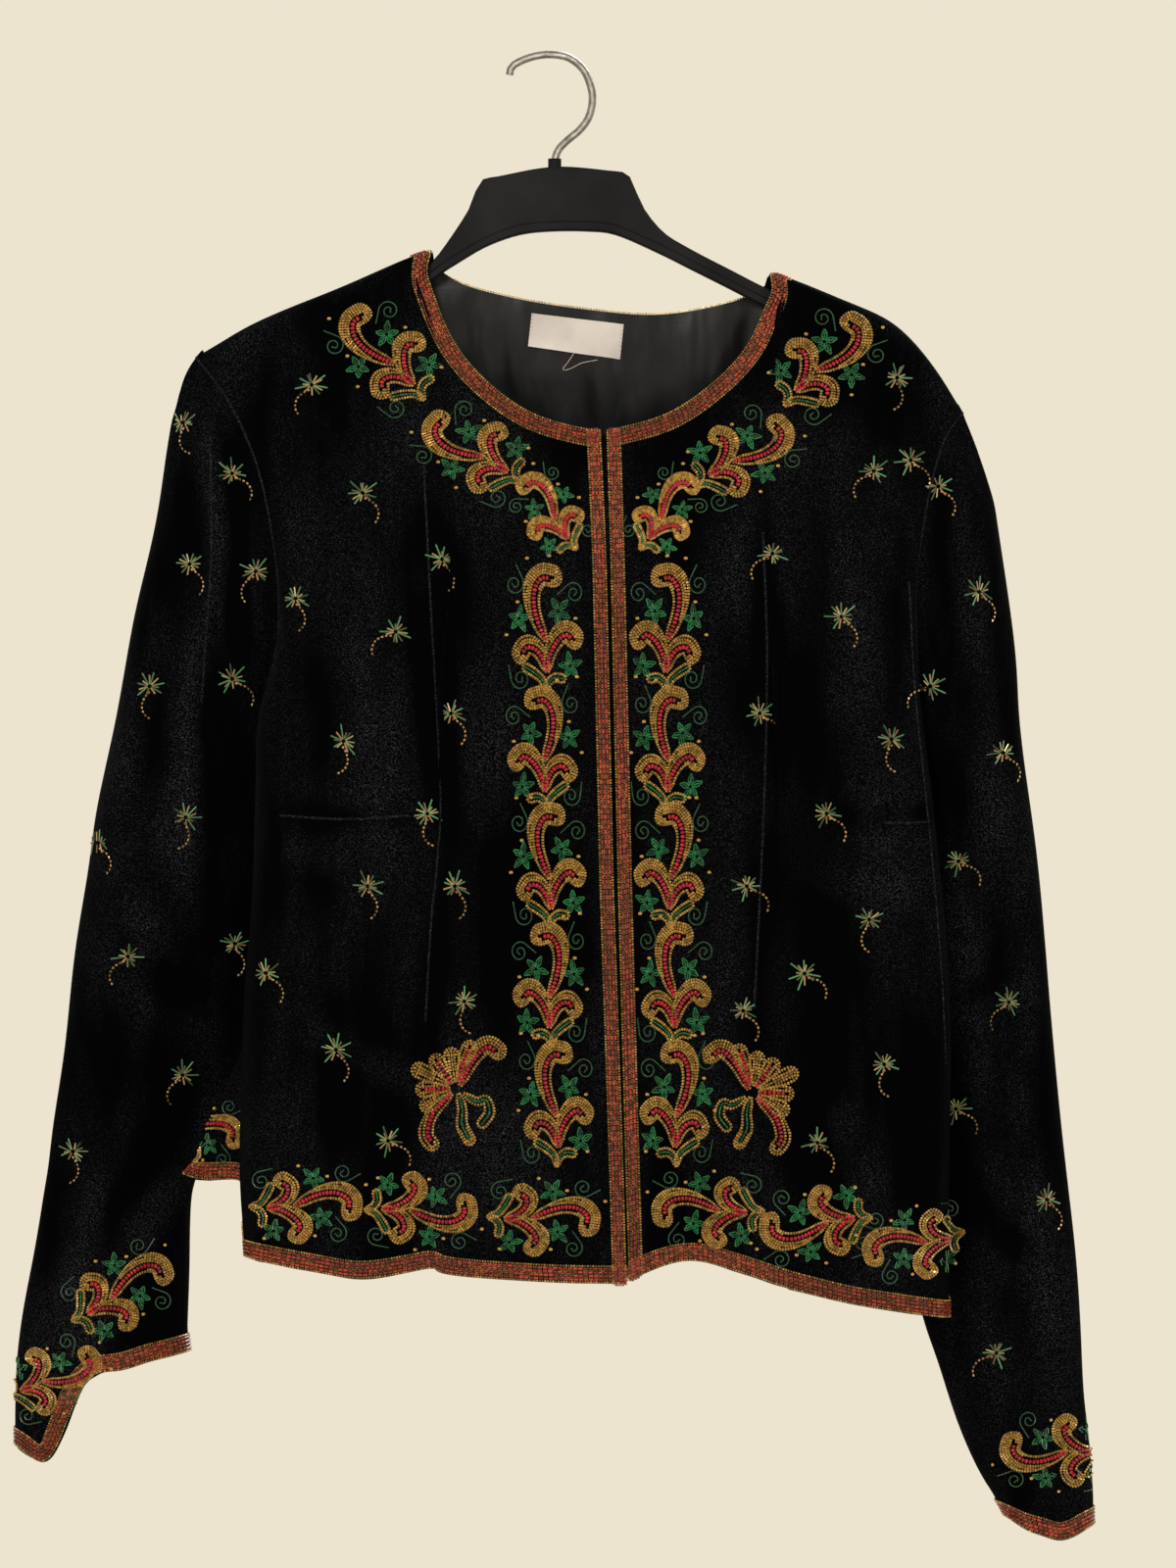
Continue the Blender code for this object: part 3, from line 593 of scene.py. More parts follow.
@dataclass
class BeadLot:
    """Beads of one colour on one part of the jacket, joined into a single mesh."""

    name: str
    finish: BeadFinish
    rows: list[tuple[Array, ...]] = field(default_factory=list)
    sides: int = 4
    slot: str = "bead_trim"

    def add(self, centre: Array, axis: Array, up: Array, length: float, radius: float, cut: Cut,
            shade: Array) -> None:
        """Adds a row of beads.

        Args:
            centre: Places of the beads on the cloth, one row each.
            axis: Directions of their bores.
            up: Directions away from the cloth.
            length: Length along the bore.
            radius: Half width; the bead stands this far off the cloth.
            cut: Shape of the beads.
            shade: Lightness of each bead, about 0 to 1.
        """
        if not len(centre):
            return
        length, radius, full, width = (np.broadcast_to(v, len(centre)) for v in (length, radius, *cut.value))
        self.rows.append((centre + up * radius[:, None], axis, up, length, radius, full, width, shade))

    def build(self, materials: Materials, *stands_for: str) -> None:
        """Joins the beads into a mesh, where there are any.

        Args:
            materials: Finished bead materials by name.
            stands_for: CAD nodes that the beads replace.
        """
        if not self.rows:
            return
        centre, axis, up, length, radius, full, width, shade = (np.concatenate(c) for c in zip(*self.rows))
        across = np.cross(axis, up)
        k = self.sides
        turn = 2 * math.pi * np.arange(k) / k + math.pi / 2
        ring = np.cos(turn)[None, :, None] * across[:, None] + np.sin(turn)[None, :, None] * up[:, None]
        ring = ring * (radius * width)[:, None, None]
        reach = (axis * (length / 2)[:, None])[:, None]
        share = full[:, None, None]
        middle = centre[:, None]
        verts = np.concatenate([middle - reach, middle - reach * share + ring, middle + reach * share + ring,
                                middle + reach], axis=1)
        faces: list[tuple[int, ...]] = []
        for i in range(1, k + 1):
            j = i % k + 1
            faces += [(0, i, j), (i, k + i, k + j, j), (k + i, 1 + 2 * k, k + j)]
        per = 2 * k + 2
        mesh = bpy.data.meshes.new(self.name)
        starts = range(0, len(centre) * per, per)
        all_faces = [tuple(v + s for v in f) for s in starts for f in faces]
        mesh.from_pydata(verts.reshape(-1, 3).tolist(), [], all_faces)
        mark(mesh, "shade", np.repeat(shade, per))
        face_outward(mesh)
        obj = new_object(self.name, mesh)
        finish_piece(obj, self.slot, materials[self.finish.name])
        if stands_for:
            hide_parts(*stands_for)


@dataclass(frozen=True)
class Crease:
    """A soft trough or ridge in the cloth, drawn on the view from the front or back."""

    line: Knots
    width: float
    height: float
    side: Side = Side.FRONT
    # Distance between samples, then how the ends fade, the height varies and the cloth beside it answers.
    step: ClassVar[float] = 6.0
    taper: ClassVar[float] = 5.0
    blunt: ClassVar[float] = 0.15
    uneven: ClassVar[float] = 0.25
    waves: ClassVar[float] = 17.0
    counter: ClassVar[float] = 0.3
    counter_place: ClassVar[float] = 2.1
    # How fast the crease fades where the cloth turns away from the view.
    turn_away: ClassVar[float] = 3.0

    def lift(self, points: Array, normals: Array) -> Array:
        """Height that the crease gives each point.

        Args:
            points: Points of the cloth in metres.
            normals: Directions the cloth faces there.

        Returns:
            Lift out of the cloth in metres.
        """
        path = spline(self.line, self.step)
        flat = points[:, [0, 2]] / MM
        near = np.full(len(flat), np.inf)
        share = np.zeros(len(flat))
        for k, p in enumerate(path):
            d = np.hypot(*(flat - p).T)
            share = np.where(d < near, k / (len(path) - 1), share)
            near = np.minimum(near, d)
        ends = np.clip(np.minimum(share, 1 - share) * self.taper + self.blunt, 0, 1)
        swell = 1 - self.uneven + self.uneven * np.sin(share * self.waves + self.line[0][0])
        beside = np.exp(-(((near - self.counter_place * self.width) / self.width) ** 2))
        shape = np.exp(-((near / self.width) ** 2)) - self.counter * beside
        facing = np.clip(normals[:, 1] * self.side.value * self.turn_away, 0, 1)
        return self.height * MM * shape * ends * swell * facing


@dataclass
class ClothSheet:
    """A sewn panel: thin cloth on the form of its CAD solid, with its creases."""

    node: str
    slot: str
    flat: Pair
    area: float
    rests_on: tuple[str, ...] = ("hanger_body",)
    creases: Sequence[Crease] = ()
    levels: int = 3
    wall: float = 1.6
    thick: float = 1.2
    side: Wall = Wall.OUTER
    wander: float = 0.5
    calm: float = 0.0
    ease: tuple[float, float, float] | None = None
    tuck: Tuck = Tuck.NONE
    tree: BVHTree | None = None
    rim: list[Array] = field(default_factory=list)
    rim_up: list[Array] = field(default_factory=list)
    # How closely a face's edge or height has to match the wall to count as the rim of the solid.
    same_edge: ClassVar[float] = 0.012
    same_height: ClassVar[float] = 0.02
    join_angle: ClassVar[float] = 1.2
    fit_times: ClassVar[int] = 4
    fit_share: ClassVar[float] = 0.9
    # Distances in millimetres over which folds fade at a seam, at the calm height and around the ease.
    seam_calm: ClassVar[float] = 14.0
    calm_fade: ClassVar[float] = 30.0
    ease_reach: ClassVar[float] = 18.0
    # Painted light of flat velvet, and the lift in millimetres that adds a whole step of painted highlight to
    # it; troughs get painted shade.
    painted_light_flat: ClassVar[float] = 0.3
    painted_light_lift: ClassVar[float] = 3.2
    sharp: ClassVar[float] = 50.0

    def outer_wall(self, source: Mesh) -> Mesh:
        """Takes one wall of the CAD solid as a sheet of quads.

        Args:
            source: Mesh of the CAD node.

        Returns:
            A new open mesh.
        """
        bm = bmesh.new()
        bm.from_mesh(source)
        bmesh.ops.remove_doubles(bm, verts=bm.verts, dist=1e-6)
        rims = []
        for face in bm.faces:
            sides = [e.calc_length() / MM for e in face.edges]
            height = 2 * face.calc_area() / MM**2 / max(sides)
            edge_fits = min(abs(s - self.wall) for s in sides) < self.same_edge
            if edge_fits or abs(height - self.wall) < self.same_height:
                rims.append(face)
        bmesh.ops.delete(bm, geom=rims, context="FACES")
        islands = sorted(self.islands(bm), key=len)[-2:]
        whole = sum(f.calc_area() for f in bm.faces)
        middle = sum((f.calc_center_median() * f.calc_area() for f in bm.faces), Vector()) / whole
        out = [sum(f.normal.dot(f.calc_center_median() - middle) * f.calc_area() for f in i) for i in islands]
        keep = set(islands[int(np.argmax(np.array(out) * self.side.value))])
        bmesh.ops.delete(bm, geom=[f for f in bm.faces if f not in keep], context="FACES")
        bmesh.ops.join_triangles(bm, faces=bm.faces, angle_face_threshold=self.join_angle,
                                 angle_shape_threshold=self.join_angle)
        mesh = bpy.data.meshes.new(self.node + "_cloth")
        bm.to_mesh(mesh)
        bm.free()
        return mesh

    def islands(self, bm: bmesh.types.BMesh) -> list[list[bmesh.types.BMFace]]:
        """Faces of a mesh, sorted into sheets that hang together."""
        left, islands = dict.fromkeys(bm.faces), []
        while left:
            island, todo = [], [left.popitem()[0]]
            while todo:
                face = todo.pop()
                island.append(face)
                for other in (other for edge in face.edges for other in edge.link_faces):
                    if other in left:
                        del left[other]
                        todo.append(other)
            islands.append(island)
        return islands

    def rounded(self, obj: Object) -> None:
        """Subdivides the sheet to a smooth surface that still passes through the CAD's points."""
        aim = points_of(obj.data)
        smooth = obj.modifiers.new("round", "SUBSURF")
        smooth.levels = smooth.render_levels = 1
        smooth.boundary_smooth = "PRESERVE_CORNERS"
        for _ in range(self.fit_times):
            shown = obj.evaluated_get(bpy.context.evaluated_depsgraph_get())
            got = points_of(shown.to_mesh())[: len(aim)]
            shown.to_mesh_clear()
            put_points(obj.data, points_of(obj.data) + self.fit_share * (aim - got))
        smooth.levels = smooth.render_levels = self.levels
        apply_modifier(obj, "round")

    def relaxed(self, mesh: Mesh, rings: int = 13, times: int = 10) -> None:
        """Smooths the cloth beside its seams, where its cells are narrow.

        Args:
            mesh: The sheet.
            rings: How many rows of points beside the seam to smooth.
            times: How often.
        """
        with edited(mesh) as bm:
            rim = {v for e in bm.edges if e.is_boundary for v in e.verts}
            near = set(rim)
            for _ in range(rings):
                near |= {e.other_vert(v) for v in near for e in v.link_edges}
            free = [v for v in bm.verts if v in near and v not in rim]
            for _ in range(times):
                bmesh.ops.smooth_vert(bm, verts=free, factor=0.5, use_axis_x=True, use_axis_y=True,
                                      use_axis_z=True)

    def creased(self, mesh: Mesh) -> None:
        """Presses the creases and a slight unevenness into the sheet, none at its seams."""
        self.relaxed(mesh)
        p, n = points_of(mesh), normals_of(mesh)
        seam = KDTree(len(p))
        count = np.zeros(len(mesh.edges), int)
        for poly in mesh.polygons:
            for key in poly.loop_indices:
                count[mesh.loops[key].edge_index] += 1
        for edge in np.flatnonzero(count == 1):
            for v in mesh.edges[int(edge)].vertices:
                seam.insert(p[v], v)
        seam.balance()
        away = np.array([seam.find(v)[2] for v in p]) / MM
        ease = np.clip(away / self.seam_calm, 0, 1) ** 1.5
        x, y, z = (p / MM).T
        waves = np.sin(x / 23 + z / 61) + np.sin(z / 37 - x / 41 + y / 30) + np.sin(z / 17 + x / 19) * 0.4
        lift = self.wander * MM * waves * np.clip((self.calm - z) / self.calm_fade, 0, 1)
        for crease in self.creases:
            lift = lift + crease.lift(p, n)
        moved = p + n * (lift * ease)[:, None]
        if self.ease:
            near = np.hypot(x - self.ease[0], z - self.ease[1])
            moved[:, 0] += self.ease[2] * MM * np.exp(-((near / self.ease_reach) ** 2))
        put_points(mesh, moved)
        # Painted fold light for the velvet: raised cloth lighter, troughs darker, by the crease lift.
        mark(mesh, "painted_light_and_sheen", np.clip(self.painted_light_flat + lift * ease / (self.painted_light_lift * MM), 0, 1))

    def trace_rims(self, mesh: Mesh) -> None:
        """Keeps the edges of the sheet as ordered lines, for what is sewn along them."""
        bm = bmesh.new()
        bm.from_mesh(mesh)
        left = dict.fromkeys(e for e in bm.edges if e.is_boundary)
        while left:
            loop = list(left.popitem()[0].verts)
            while step := next((e for e in loop[-1].link_edges if e in left), None):
                del left[step]
                loop.append(step.other_vert(loop[-1]))
            self.rim.append(np.array([v.co[:] for v in loop]))
            self.rim_up.append(np.array([v.normal[:] for v in loop]))
        bm.free()

    def turned(self, place: Vector) -> float:
        """How far the edge at a place goes on past the seam, in millimetres, or 0 where it ends there."""
        if self.tuck is Tuck.ARMHOLE:
            if place.z <= ARMHOLE_FOOT:
                return 0.0
            low = min(max((ARMHOLE_WIDENS - place.z) / ARMHOLE_EASE, 0), 1)
            return TURNED_EDGE + ARMHOLE_EXTRA * low
        middle = np.interp(place.z / MM, *CENTRE_LINE)
        inside = CENTRE_EDGE[0] < place.z < CENTRE_EDGE[1]
        return TURNED_EDGE if abs(place.x / MM - middle) < CENTRE_REACH and inside else 0.0

    def tucked(self, mesh: Mesh, under: float = 2.2) -> None:
        """Turns an edge under the panel beside it, as a seam allowance.

        Args:
            mesh: The sheet.
            under: How far the edge drops below the cloth beside it.
        """
        with edited(mesh) as bm:
            edges = [e for e in bm.edges if e.is_boundary and min(self.turned(v.co) for v in e.verts) > 0]
            moves = {}
            bm.faces.ensure_lookup_table()
            facing = bm.faces[0].normal.copy()
            for vert in dict.fromkeys(v for e in edges for v in e.verts):
                inside = [e.other_vert(vert).co for e in vert.link_edges if not e.is_boundary]
                if inside:
                    way = (vert.co - sum(inside, Vector()) / len(inside)).normalized()
                    moves[vert.co[:]] = way * self.turned(vert.co) * MM - vert.normal * under * MM
            for made in bmesh.ops.extrude_edge_only(bm, edges=edges)["geom"]:
                if isinstance(made, bmesh.types.BMVert):
                    made.co += moves.get(made.co[:], Vector())
            bmesh.ops.recalc_face_normals(bm, faces=bm.faces)
            bm.faces.ensure_lookup_table()
            if bm.faces[0].normal.dot(facing) < 0:
                bmesh.ops.reverse_faces(bm, faces=bm.faces)

    def build(self, frame: dict) -> Object:
        """Makes the cloth from its CAD node.

        Args:
            frame: The loaded frame.

        Returns:
            The finished cloth, without a material.
        """
        obj = new_object(self.node + "_cloth", self.outer_wall(frame["nodes"][self.node].data))
        mesh = obj.data
        self.rounded(obj)
        self.creased(mesh)
        self.trace_rims(mesh)
        self.tree = BVHTree.FromPolygons(points_of(mesh).tolist(), [p.vertices[:] for p in mesh.polygons])
        if self.tuck is not Tuck.NONE:
            self.tucked(mesh)
        give_thickness(obj, self.thick, self.sharp)
        return obj

    def from_front(self, x: float, z: float) -> Vector | None:
        """The point of the cloth behind a place on the front view, given in millimetres."""
        return self.tree.ray_cast(Vector((x * MM, -0.2, z * MM)), INTO_BACK)[0]

    def dress(self, obj: Object, material: Material, held: str) -> None:
        finish_piece(obj, self.slot, material)
        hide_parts(self.node)
        list(self.rests_on)


@dataclass
class Lining(ClothSheet):
    """Back neck lining, gathered a little so that it falls in soft upright folds."""

    gather: float = 3.4
    top: float = -122.0
    fade: float = 50.0

    def creased(self, mesh: Mesh) -> None:
        """Lifts uneven upright gathers out of the lining, toward the front."""
        p = points_of(mesh)
        x, z = p[:, 0] / MM, p[:, 2] / MM
        wave = np.sin(x / 4.1 + 1.4 * np.sin(z / 38)) * np.sin(x / 29 + 0.6) + 0.6 * np.sin(x / 7.3 + z / 60)
        low = np.clip((self.top - z) / self.fade, 0, 1)
        p[:, 1] -= self.gather * MM * (wave + 1.5) * 0.5 * low
        put_points(mesh, p)


@dataclass
class NeckLabel:
    """Bare woven label at the back neck, lifted a little at one lower corner."""

    corners: Knots
    lift: float = 0.9
    across: int = 22
    down: int = 12
    thick: float = 0.35
    sharp: float = 40.0
    stitches: int = 9
    inset: float = 0.012
    stitch: Pair = (1.6, 0.17)
    tail: Knots = ((12, -158), (8, -164), (5, -168.5), (9, -168), (15, -165), (23, -163.5))

    def build(self, lining: ClothSheet) -> Object:
        """Lays the label on the lining.

        Args:
            lining: The lining that carries it.

        Returns:
            The label, without a material.
        """
        a, b, c, d = (np.array(p) for p in self.corners)
        grid = []
        for j in range(self.down + 1):
            for i in range(self.across + 1):
                u, v = i / self.across, j / self.down
                x, z = (a * (1 - u) + b * u) * (1 - v) + (d * (1 - u) + c * u) * v
                curl = self.lift * MM * (1.0 + (1 - u) * v**3 * 2.2 + 0.25 * math.sin(u * 7) * v)
                grid.append((x * MM, lining.from_front(x, z).y - curl, z * MM))
        w = self.across + 1
        cells = [j * w + i for j in range(self.down) for i in range(self.across)]
        mesh = bpy.data.meshes.new("label_cloth")
        mesh.from_pydata(grid, [], [(k, k + w, k + w + 1, k + 1) for k in cells])
        obj = new_object("label_cloth", mesh)
        give_thickness(obj, self.thick, self.sharp)
        return obj

    def stitched(self, lining: ClothSheet, rng: np.random.Generator) -> None:
        """Sews the two short ends down, and leaves one loose end of thread."""
        lot = BeadLot("label_thread", THREAD, slot="label")
        a, b, c, d = (np.array(p, float) for p in self.corners)
        ends = [(p + (q - p) * t + (r - p) * self.inset, r - p) for p, q, r in ((a, d, b), (b, c, a))
                for t in np.linspace(0.06, 0.94, self.stitches)]
        tail = spline(self.tail, 1.5)
        flat, way = (np.array(v) for v in zip(*ends, *zip(tail, headings(tail))))
        hits = [lining.from_front(x, z) for x, z in flat]
        place = np.array([(h.x, h.y - self.lift * 1.25 * MM, h.z) for h in hits])
        up = np.tile([0.0, -1.0, 0.0], (len(place), 1))
        length, radius = self.stitch
        shade = rng.uniform(0, 1, len(place))
        lot.add(place, upright(unit(way)), up, length * MM, radius * MM, Cut.BUGLE, shade)
        lot.build({THREAD.name: THREAD.make()})

    def dress(self, obj: Object, material: Material) -> None:
        finish_piece(obj, "label", material)
        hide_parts("neck_label")


@dataclass
class Ground:
    """The dressed velvet that beads are sewn to."""

    panels: dict[str, ClothSheet]
    away: float = 0.4
    steepest: float = -0.12

    def sew(self, x: Array, z: Array, side: Side, only: str | None = None) -> tuple[Array, Array, Array]:
        """Finds the cloth at places seen from the front or the back.

        Args:
            x: Places across, in metres.
            z: Places up, in metres.
            side: Which side they are seen from.
            only: Name of the panel to use, or None for the nearest.

        Returns:
            Points on the cloth, their normals, and which places met cloth.
        """
        places, ups, met = np.zeros((len(x), 3)), np.zeros((len(x), 3)), np.zeros(len(x), bool)
        aim = Vector((0, -side.value, 0))
        panels = [panel for name, panel in self.panels.items() if only in (None, name)]
        for k, (px, pz) in enumerate(zip(x, z)):
            best = math.inf
            for panel in panels:
                at, up, _, far = panel.tree.ray_cast(Vector((px, side.value * self.away, pz)), aim)
                if at is not None and up.dot(aim) < self.steepest and far < best:
                    best, places[k], ups[k], met[k] = far, at, up, True
        return places, ups, met


@dataclass
class SeamLines:
    """Pressed seams, darts and folds of the velvet, each a fine raised line where the pile parts, with
    painted highlight along it.
    """

    ground: Ground
    seams: Sequence[tuple[Side, Knots]]
    armholes: Sequence[str] = ("sleeve_right", "sleeve_left")
    step: float = 2.5
    width: float = 1.5
    rise: float = 0.45
    sink: float = 0.1
    root: float = 0.4
    # Painted highlight level of the seam lines.
    painted_light_and_sheen: float = 1.3

    def lines(self) -> Iterator[tuple[Array, Array]]:
        """Places and normals along each line: the drawn ones, then the armholes."""
        for side, knots in self.seams:
            path = spline(knots, self.step) * MM
            place, up, met = self.ground.sew(path[:, 0], path[:, 1], side)
            yield place[met], up[met]
        for node in self.armholes:
            sleeve = self.ground.panels[node]
            yield max(zip(sleeve.rim, sleeve.rim_up), key=lambda rim: rim[0][:, 2].mean())

    def build(self, velvet: Material) -> None:
        """Lays all the lines as one piece."""
        verts: list[Array] = []
        faces: list[tuple[int, ...]] = []
        base = 0
        for place, up in self.lines():
            over = np.cross(headings(place), up) * self.width / 2 * MM
            low = up * self.sink * MM
            ring = np.stack([place - over - low, place + up * self.rise * MM, place + over - low,
                             place - up * self.root * MM], axis=1)
            verts.append(ring.reshape(-1, 3))
            last = base + 4 * (len(place) - 1)
            faces += [(base, base + 1, base + 2, base + 3), (last + 3, last + 2, last + 1, last)]
            for k in range(base, last, 4):
                faces += [(k + i, k + 4 + i, k + 4 + (i + 1) % 4, k + (i + 1) % 4) for i in range(4)]
            base = last + 4
        mesh = bpy.data.meshes.new("seam_lines")
        mesh.from_pydata(np.concatenate(verts).tolist(), [], faces)
        # Painted highlight along the seams: the full painted fold light on every line.
        mark(mesh, "painted_light_and_sheen", np.full(len(mesh.vertices), self.painted_light_and_sheen))
        obj = new_object("seam_lines", mesh)
        face_outward(mesh)
        finish_piece(obj, "velvet", velvet)


@dataclass
class BeadedEdge:
    """Edge band: rows of rust bugles with fine gold between, and a row of gold seed beads on each side."""

    panel: ClothSheet
    start: Pair
    via: Pair
    stop: Pair
    rows: int = 4
    inset: float = 0.7
    pitch: float = 1.95
    border: float = 1.35
    # Distances in millimetres along the edge, into the cloth to find its side, and through the band.
    sample: ClassVar[float] = 3.0
    probe: ClassVar[float] = 4.0
    probe_every: ClassVar[int] = 6
    above: ClassVar[float] = 7.0
    through: ClassVar[float] = 9.0
    snug: ClassVar[float] = 0.92

    def layout(self) -> list[tuple[float, Row]]:
        """Rows of the band with their distances from the edge."""
        first = self.inset + self.border
        bugles = [(first + k * self.pitch, Row.BUGLE) for k in range(self.rows)]
        wires = [(off + self.pitch / 2, Row.WIRE) for off, _ in bugles[:-1]]
        return [(self.inset, Row.SEED), *bugles, *wires, (bugles[-1][0] + self.border, Row.SEED)]

    def edge(self) -> tuple[Array, Array]:
        """The stretch of the panel's rim that carries the band.

        Returns:
            Points along the stretch, and the cloth's normals there.
        """
        def near(loop: Array, spot: Pair) -> tuple[int, float]:
            """Index of the loop's point nearest to a spot, and its distance."""
            gap = np.hypot(loop[:, 0] / MM - spot[0], loop[:, 2] / MM - spot[1])
            return int(gap.argmin()), float(gap.min())

        marks = (self.start, self.via, self.stop)
        rims = zip(self.panel.rim, self.panel.rim_up)
        loop, up = min(rims, key=lambda rim: sum(near(rim[0], spot)[1] for spot in marks))
        loop, up = loop[:-1], up[:-1]
        a, m, b = (near(loop, spot)[0] for spot in marks)
        count = len(loop)
        if (m - a) % count <= (b - a) % count:
            index = [(a + k) % count for k in range((b - a) % count + 1)]
        else:
            index = [(a - k) % count for k in range((a - b) % count + 1)]
        return loop[index], up[index]

    def nearest(self, line: Array) -> tuple[Array, Array, float]:
        """Points of the cloth nearest to a line, their normals, and the sum of the distances."""
        found = [self.panel.tree.find_nearest(Vector(p)) for p in line]
        places, normals = (np.array([f[k][:] for f in found]) for k in (0, 1))
        return places, normals, sum(f[3] for f in found)

    def both_sides(self) -> tuple[Array, Array]:
        """Lines along the two sides of the band, the edge's own side first."""
        line, up = self.edge()
        run = run_along(line)
        at = np.linspace(0, run[-1], max(8, int(run[-1] / (self.sample * MM))))
        line, up = sampled(line, run, at), sampled(up, run, at)
        inward = np.cross(up, headings(line))
        few, into = line[::self.probe_every], inward[::self.probe_every] * self.probe * MM
        hand = 1 if self.nearest(few + into)[2] < self.nearest(few - into)[2] else -1
        walk = self.walk(line, inward * hand)
        rows = self.layout()
        ends = np.array([rows[0][0], rows[-1][0]]) * MM
        steps = [sampled(walk[:, j], run_along(walk[:, j]), ends) for j in range(len(line))]
        first, last = np.swapaxes(steps, 0, 1)
        return first, last

    def stitch(self, rust: BeadLot, gold: BeadLot, rng: np.random.Generator) -> None:
        """Sews the rows of beads along the edge.

        Args:
            rust: Lot that takes the bugles.
            gold: Lot that takes the seed beads.
            rng: Source of the beads' unevenness.
        """
        rows = self.layout()
        first, last = rows[0][0], rows[-1][0]
        sides = self.both_sides()
        outward = self.facing(sides)
        for off, kind in rows:
            step, radius = kind.value
            share = (off - first) / (last - first)
            chord = sides[0] * (1 - share) + sides[1] * share
            row = evened(chord, step * MM)
            face = outward[np.linalg.norm(row[:, None] - chord[None], axis=2).argmin(axis=1)]
            row = np.array([self.raised(p, f) for p, f in zip(row, face)])
            axis = unit(along_cloth(headings(row), face))
            shade = rng.uniform(0.0, 1.0, len(row)) ** 1.6 * (0.85 + 0.3 * np.sin(np.arange(len(row)) / 9))
            lot = rust if kind is Row.BUGLE else gold
            cut = Cut.ROUND if kind is Row.SEED else Cut.BUGLE
            lot.add(row, axis, face, step * self.snug * MM, radius * MM, cut, shade)

    def raised(self, place: Array, face: Array) -> Array:
        """A place of the band, moved out to the cloth where the cloth stands above it."""
        start = Vector(place + face * self.above * MM)
        top = self.panel.tree.ray_cast(start, Vector(-face), self.through * MM)[0]
        return place if top is None or (np.array(top) - place) @ face < 0 else np.array(top)

    def facing(self, sides: Sequence[Array]) -> Array:
        """Directions that the band faces along its length, as the mean over its width.

        Args:
            sides: Lines along the two sides of the band.

        Returns:
            One unit vector for each point of the lines.
        """
        shares = (0.0, 0.25, 0.5, 0.75, 1.0)
        return unit(smoothed(sum(self.nearest(sides[0] * (1 - s) + sides[1] * s)[1] for s in shares), 3))

    def walk(self, line: Array, inward: Array, reach: int = 14) -> Array:
        """Steps from the edge into the panel, one millimetre at a time, keeping to the cloth.

        Args:
            line: Points along the edge.
            inward: Directions into the panel at those points.
            reach: How many steps to take.

        Returns:
            The line after each step, the edge itself first.
        """
        lines, way = [line], inward
        for _ in range(reach):
            place, face, _ = self.nearest(lines[-1] + way * MM)
            way = unit(smoothed(along_cloth(way, face), 2))
            lines.append(place)
        return np.array(lines)


@dataclass(frozen=True)
class Spot:
    """Where a motif is sewn: its middle in millimetres, its turn from upright, its size and its hand."""

    x: float
    z: float
    turn: float = 0.0
    size: float = 1.0
    hand: int = 1
    slim: float = 1.0
    only: str | None = None
    side: Side = Side.FRONT

    def flat(self, p: Array) -> Array:
        """Takes points of a motif, in millimetres, to x and z in metres."""
        a = math.radians(self.turn)
        q = p * [self.hand * self.size * self.slim, self.size]
        return np.column_stack([self.x + q[:, 0] * math.cos(a) - q[:, 1] * math.sin(a),
                                self.z + q[:, 0] * math.sin(a) + q[:, 1] * math.cos(a)]) * MM


def compass(angle: float) -> tuple[Array, Array]:
    """Directions in a motif at an angle in degrees, and square to it."""
    a = math.radians(angle)
    return np.array([math.cos(a), math.sin(a)]), np.array([-math.sin(a), math.cos(a)])


@dataclass
class Needle:
    """Sews drawn lines of beads on the velvet."""

    ground: Ground
    rng: np.random.Generator

    def row(self, lot: BeadLot, spot: Spot, line: Array, length: float, radius: float, cut: Cut,
            shade: Pair = (0.1, 0.85)) -> None:
        """Sews beads at the points of a line, each along the line.

        Args:
            lot: Lot that takes the beads.
            spot: Where the motif is.
            line: Points of the line in the motif, in millimetres.
            length: Length of a bead.
            radius: Half width of a bead.
            cut: Shape of the beads.
            shade: Darkest and lightest bead.
        """
        flat = spot.flat(line)
        way = headings(flat) if len(flat) > 1 else np.array([[0.0, 1.0]])
        self.scatter(lot, spot, flat, way, length, radius, cut, shade)

    def bugle(self, lot: BeadLot, spot: Spot, ends: Sequence[Array], radius: float) -> None:
        """Sews one long bead between two points of the motif."""
        flat = spot.flat(np.array(ends))
        long = np.linalg.norm(flat[1] - flat[0])
        way = (flat[1] - flat[0])[None] / long
        self.scatter(lot, spot, flat.mean(axis=0)[None], way, long / MM, radius, Cut.BUGLE, (0.0, 1.0))

    def scatter(self, lot: BeadLot, spot: Spot, flat: Array, way: Array, length: float, radius: float,
                cut: Cut, shade: Pair) -> None:
        """Sews beads at places seen from one side, each turned its own way."""
        place, up, met = self.ground.sew(flat[:, 0], flat[:, 1], spot.side, spot.only)
        axis = unit(along_cloth(upright(way), up))
        tone = self.rng.uniform(*shade, len(flat))
        lot.add(place[met], axis[met], up[met], length * MM, radius * MM, cut, tone[met])


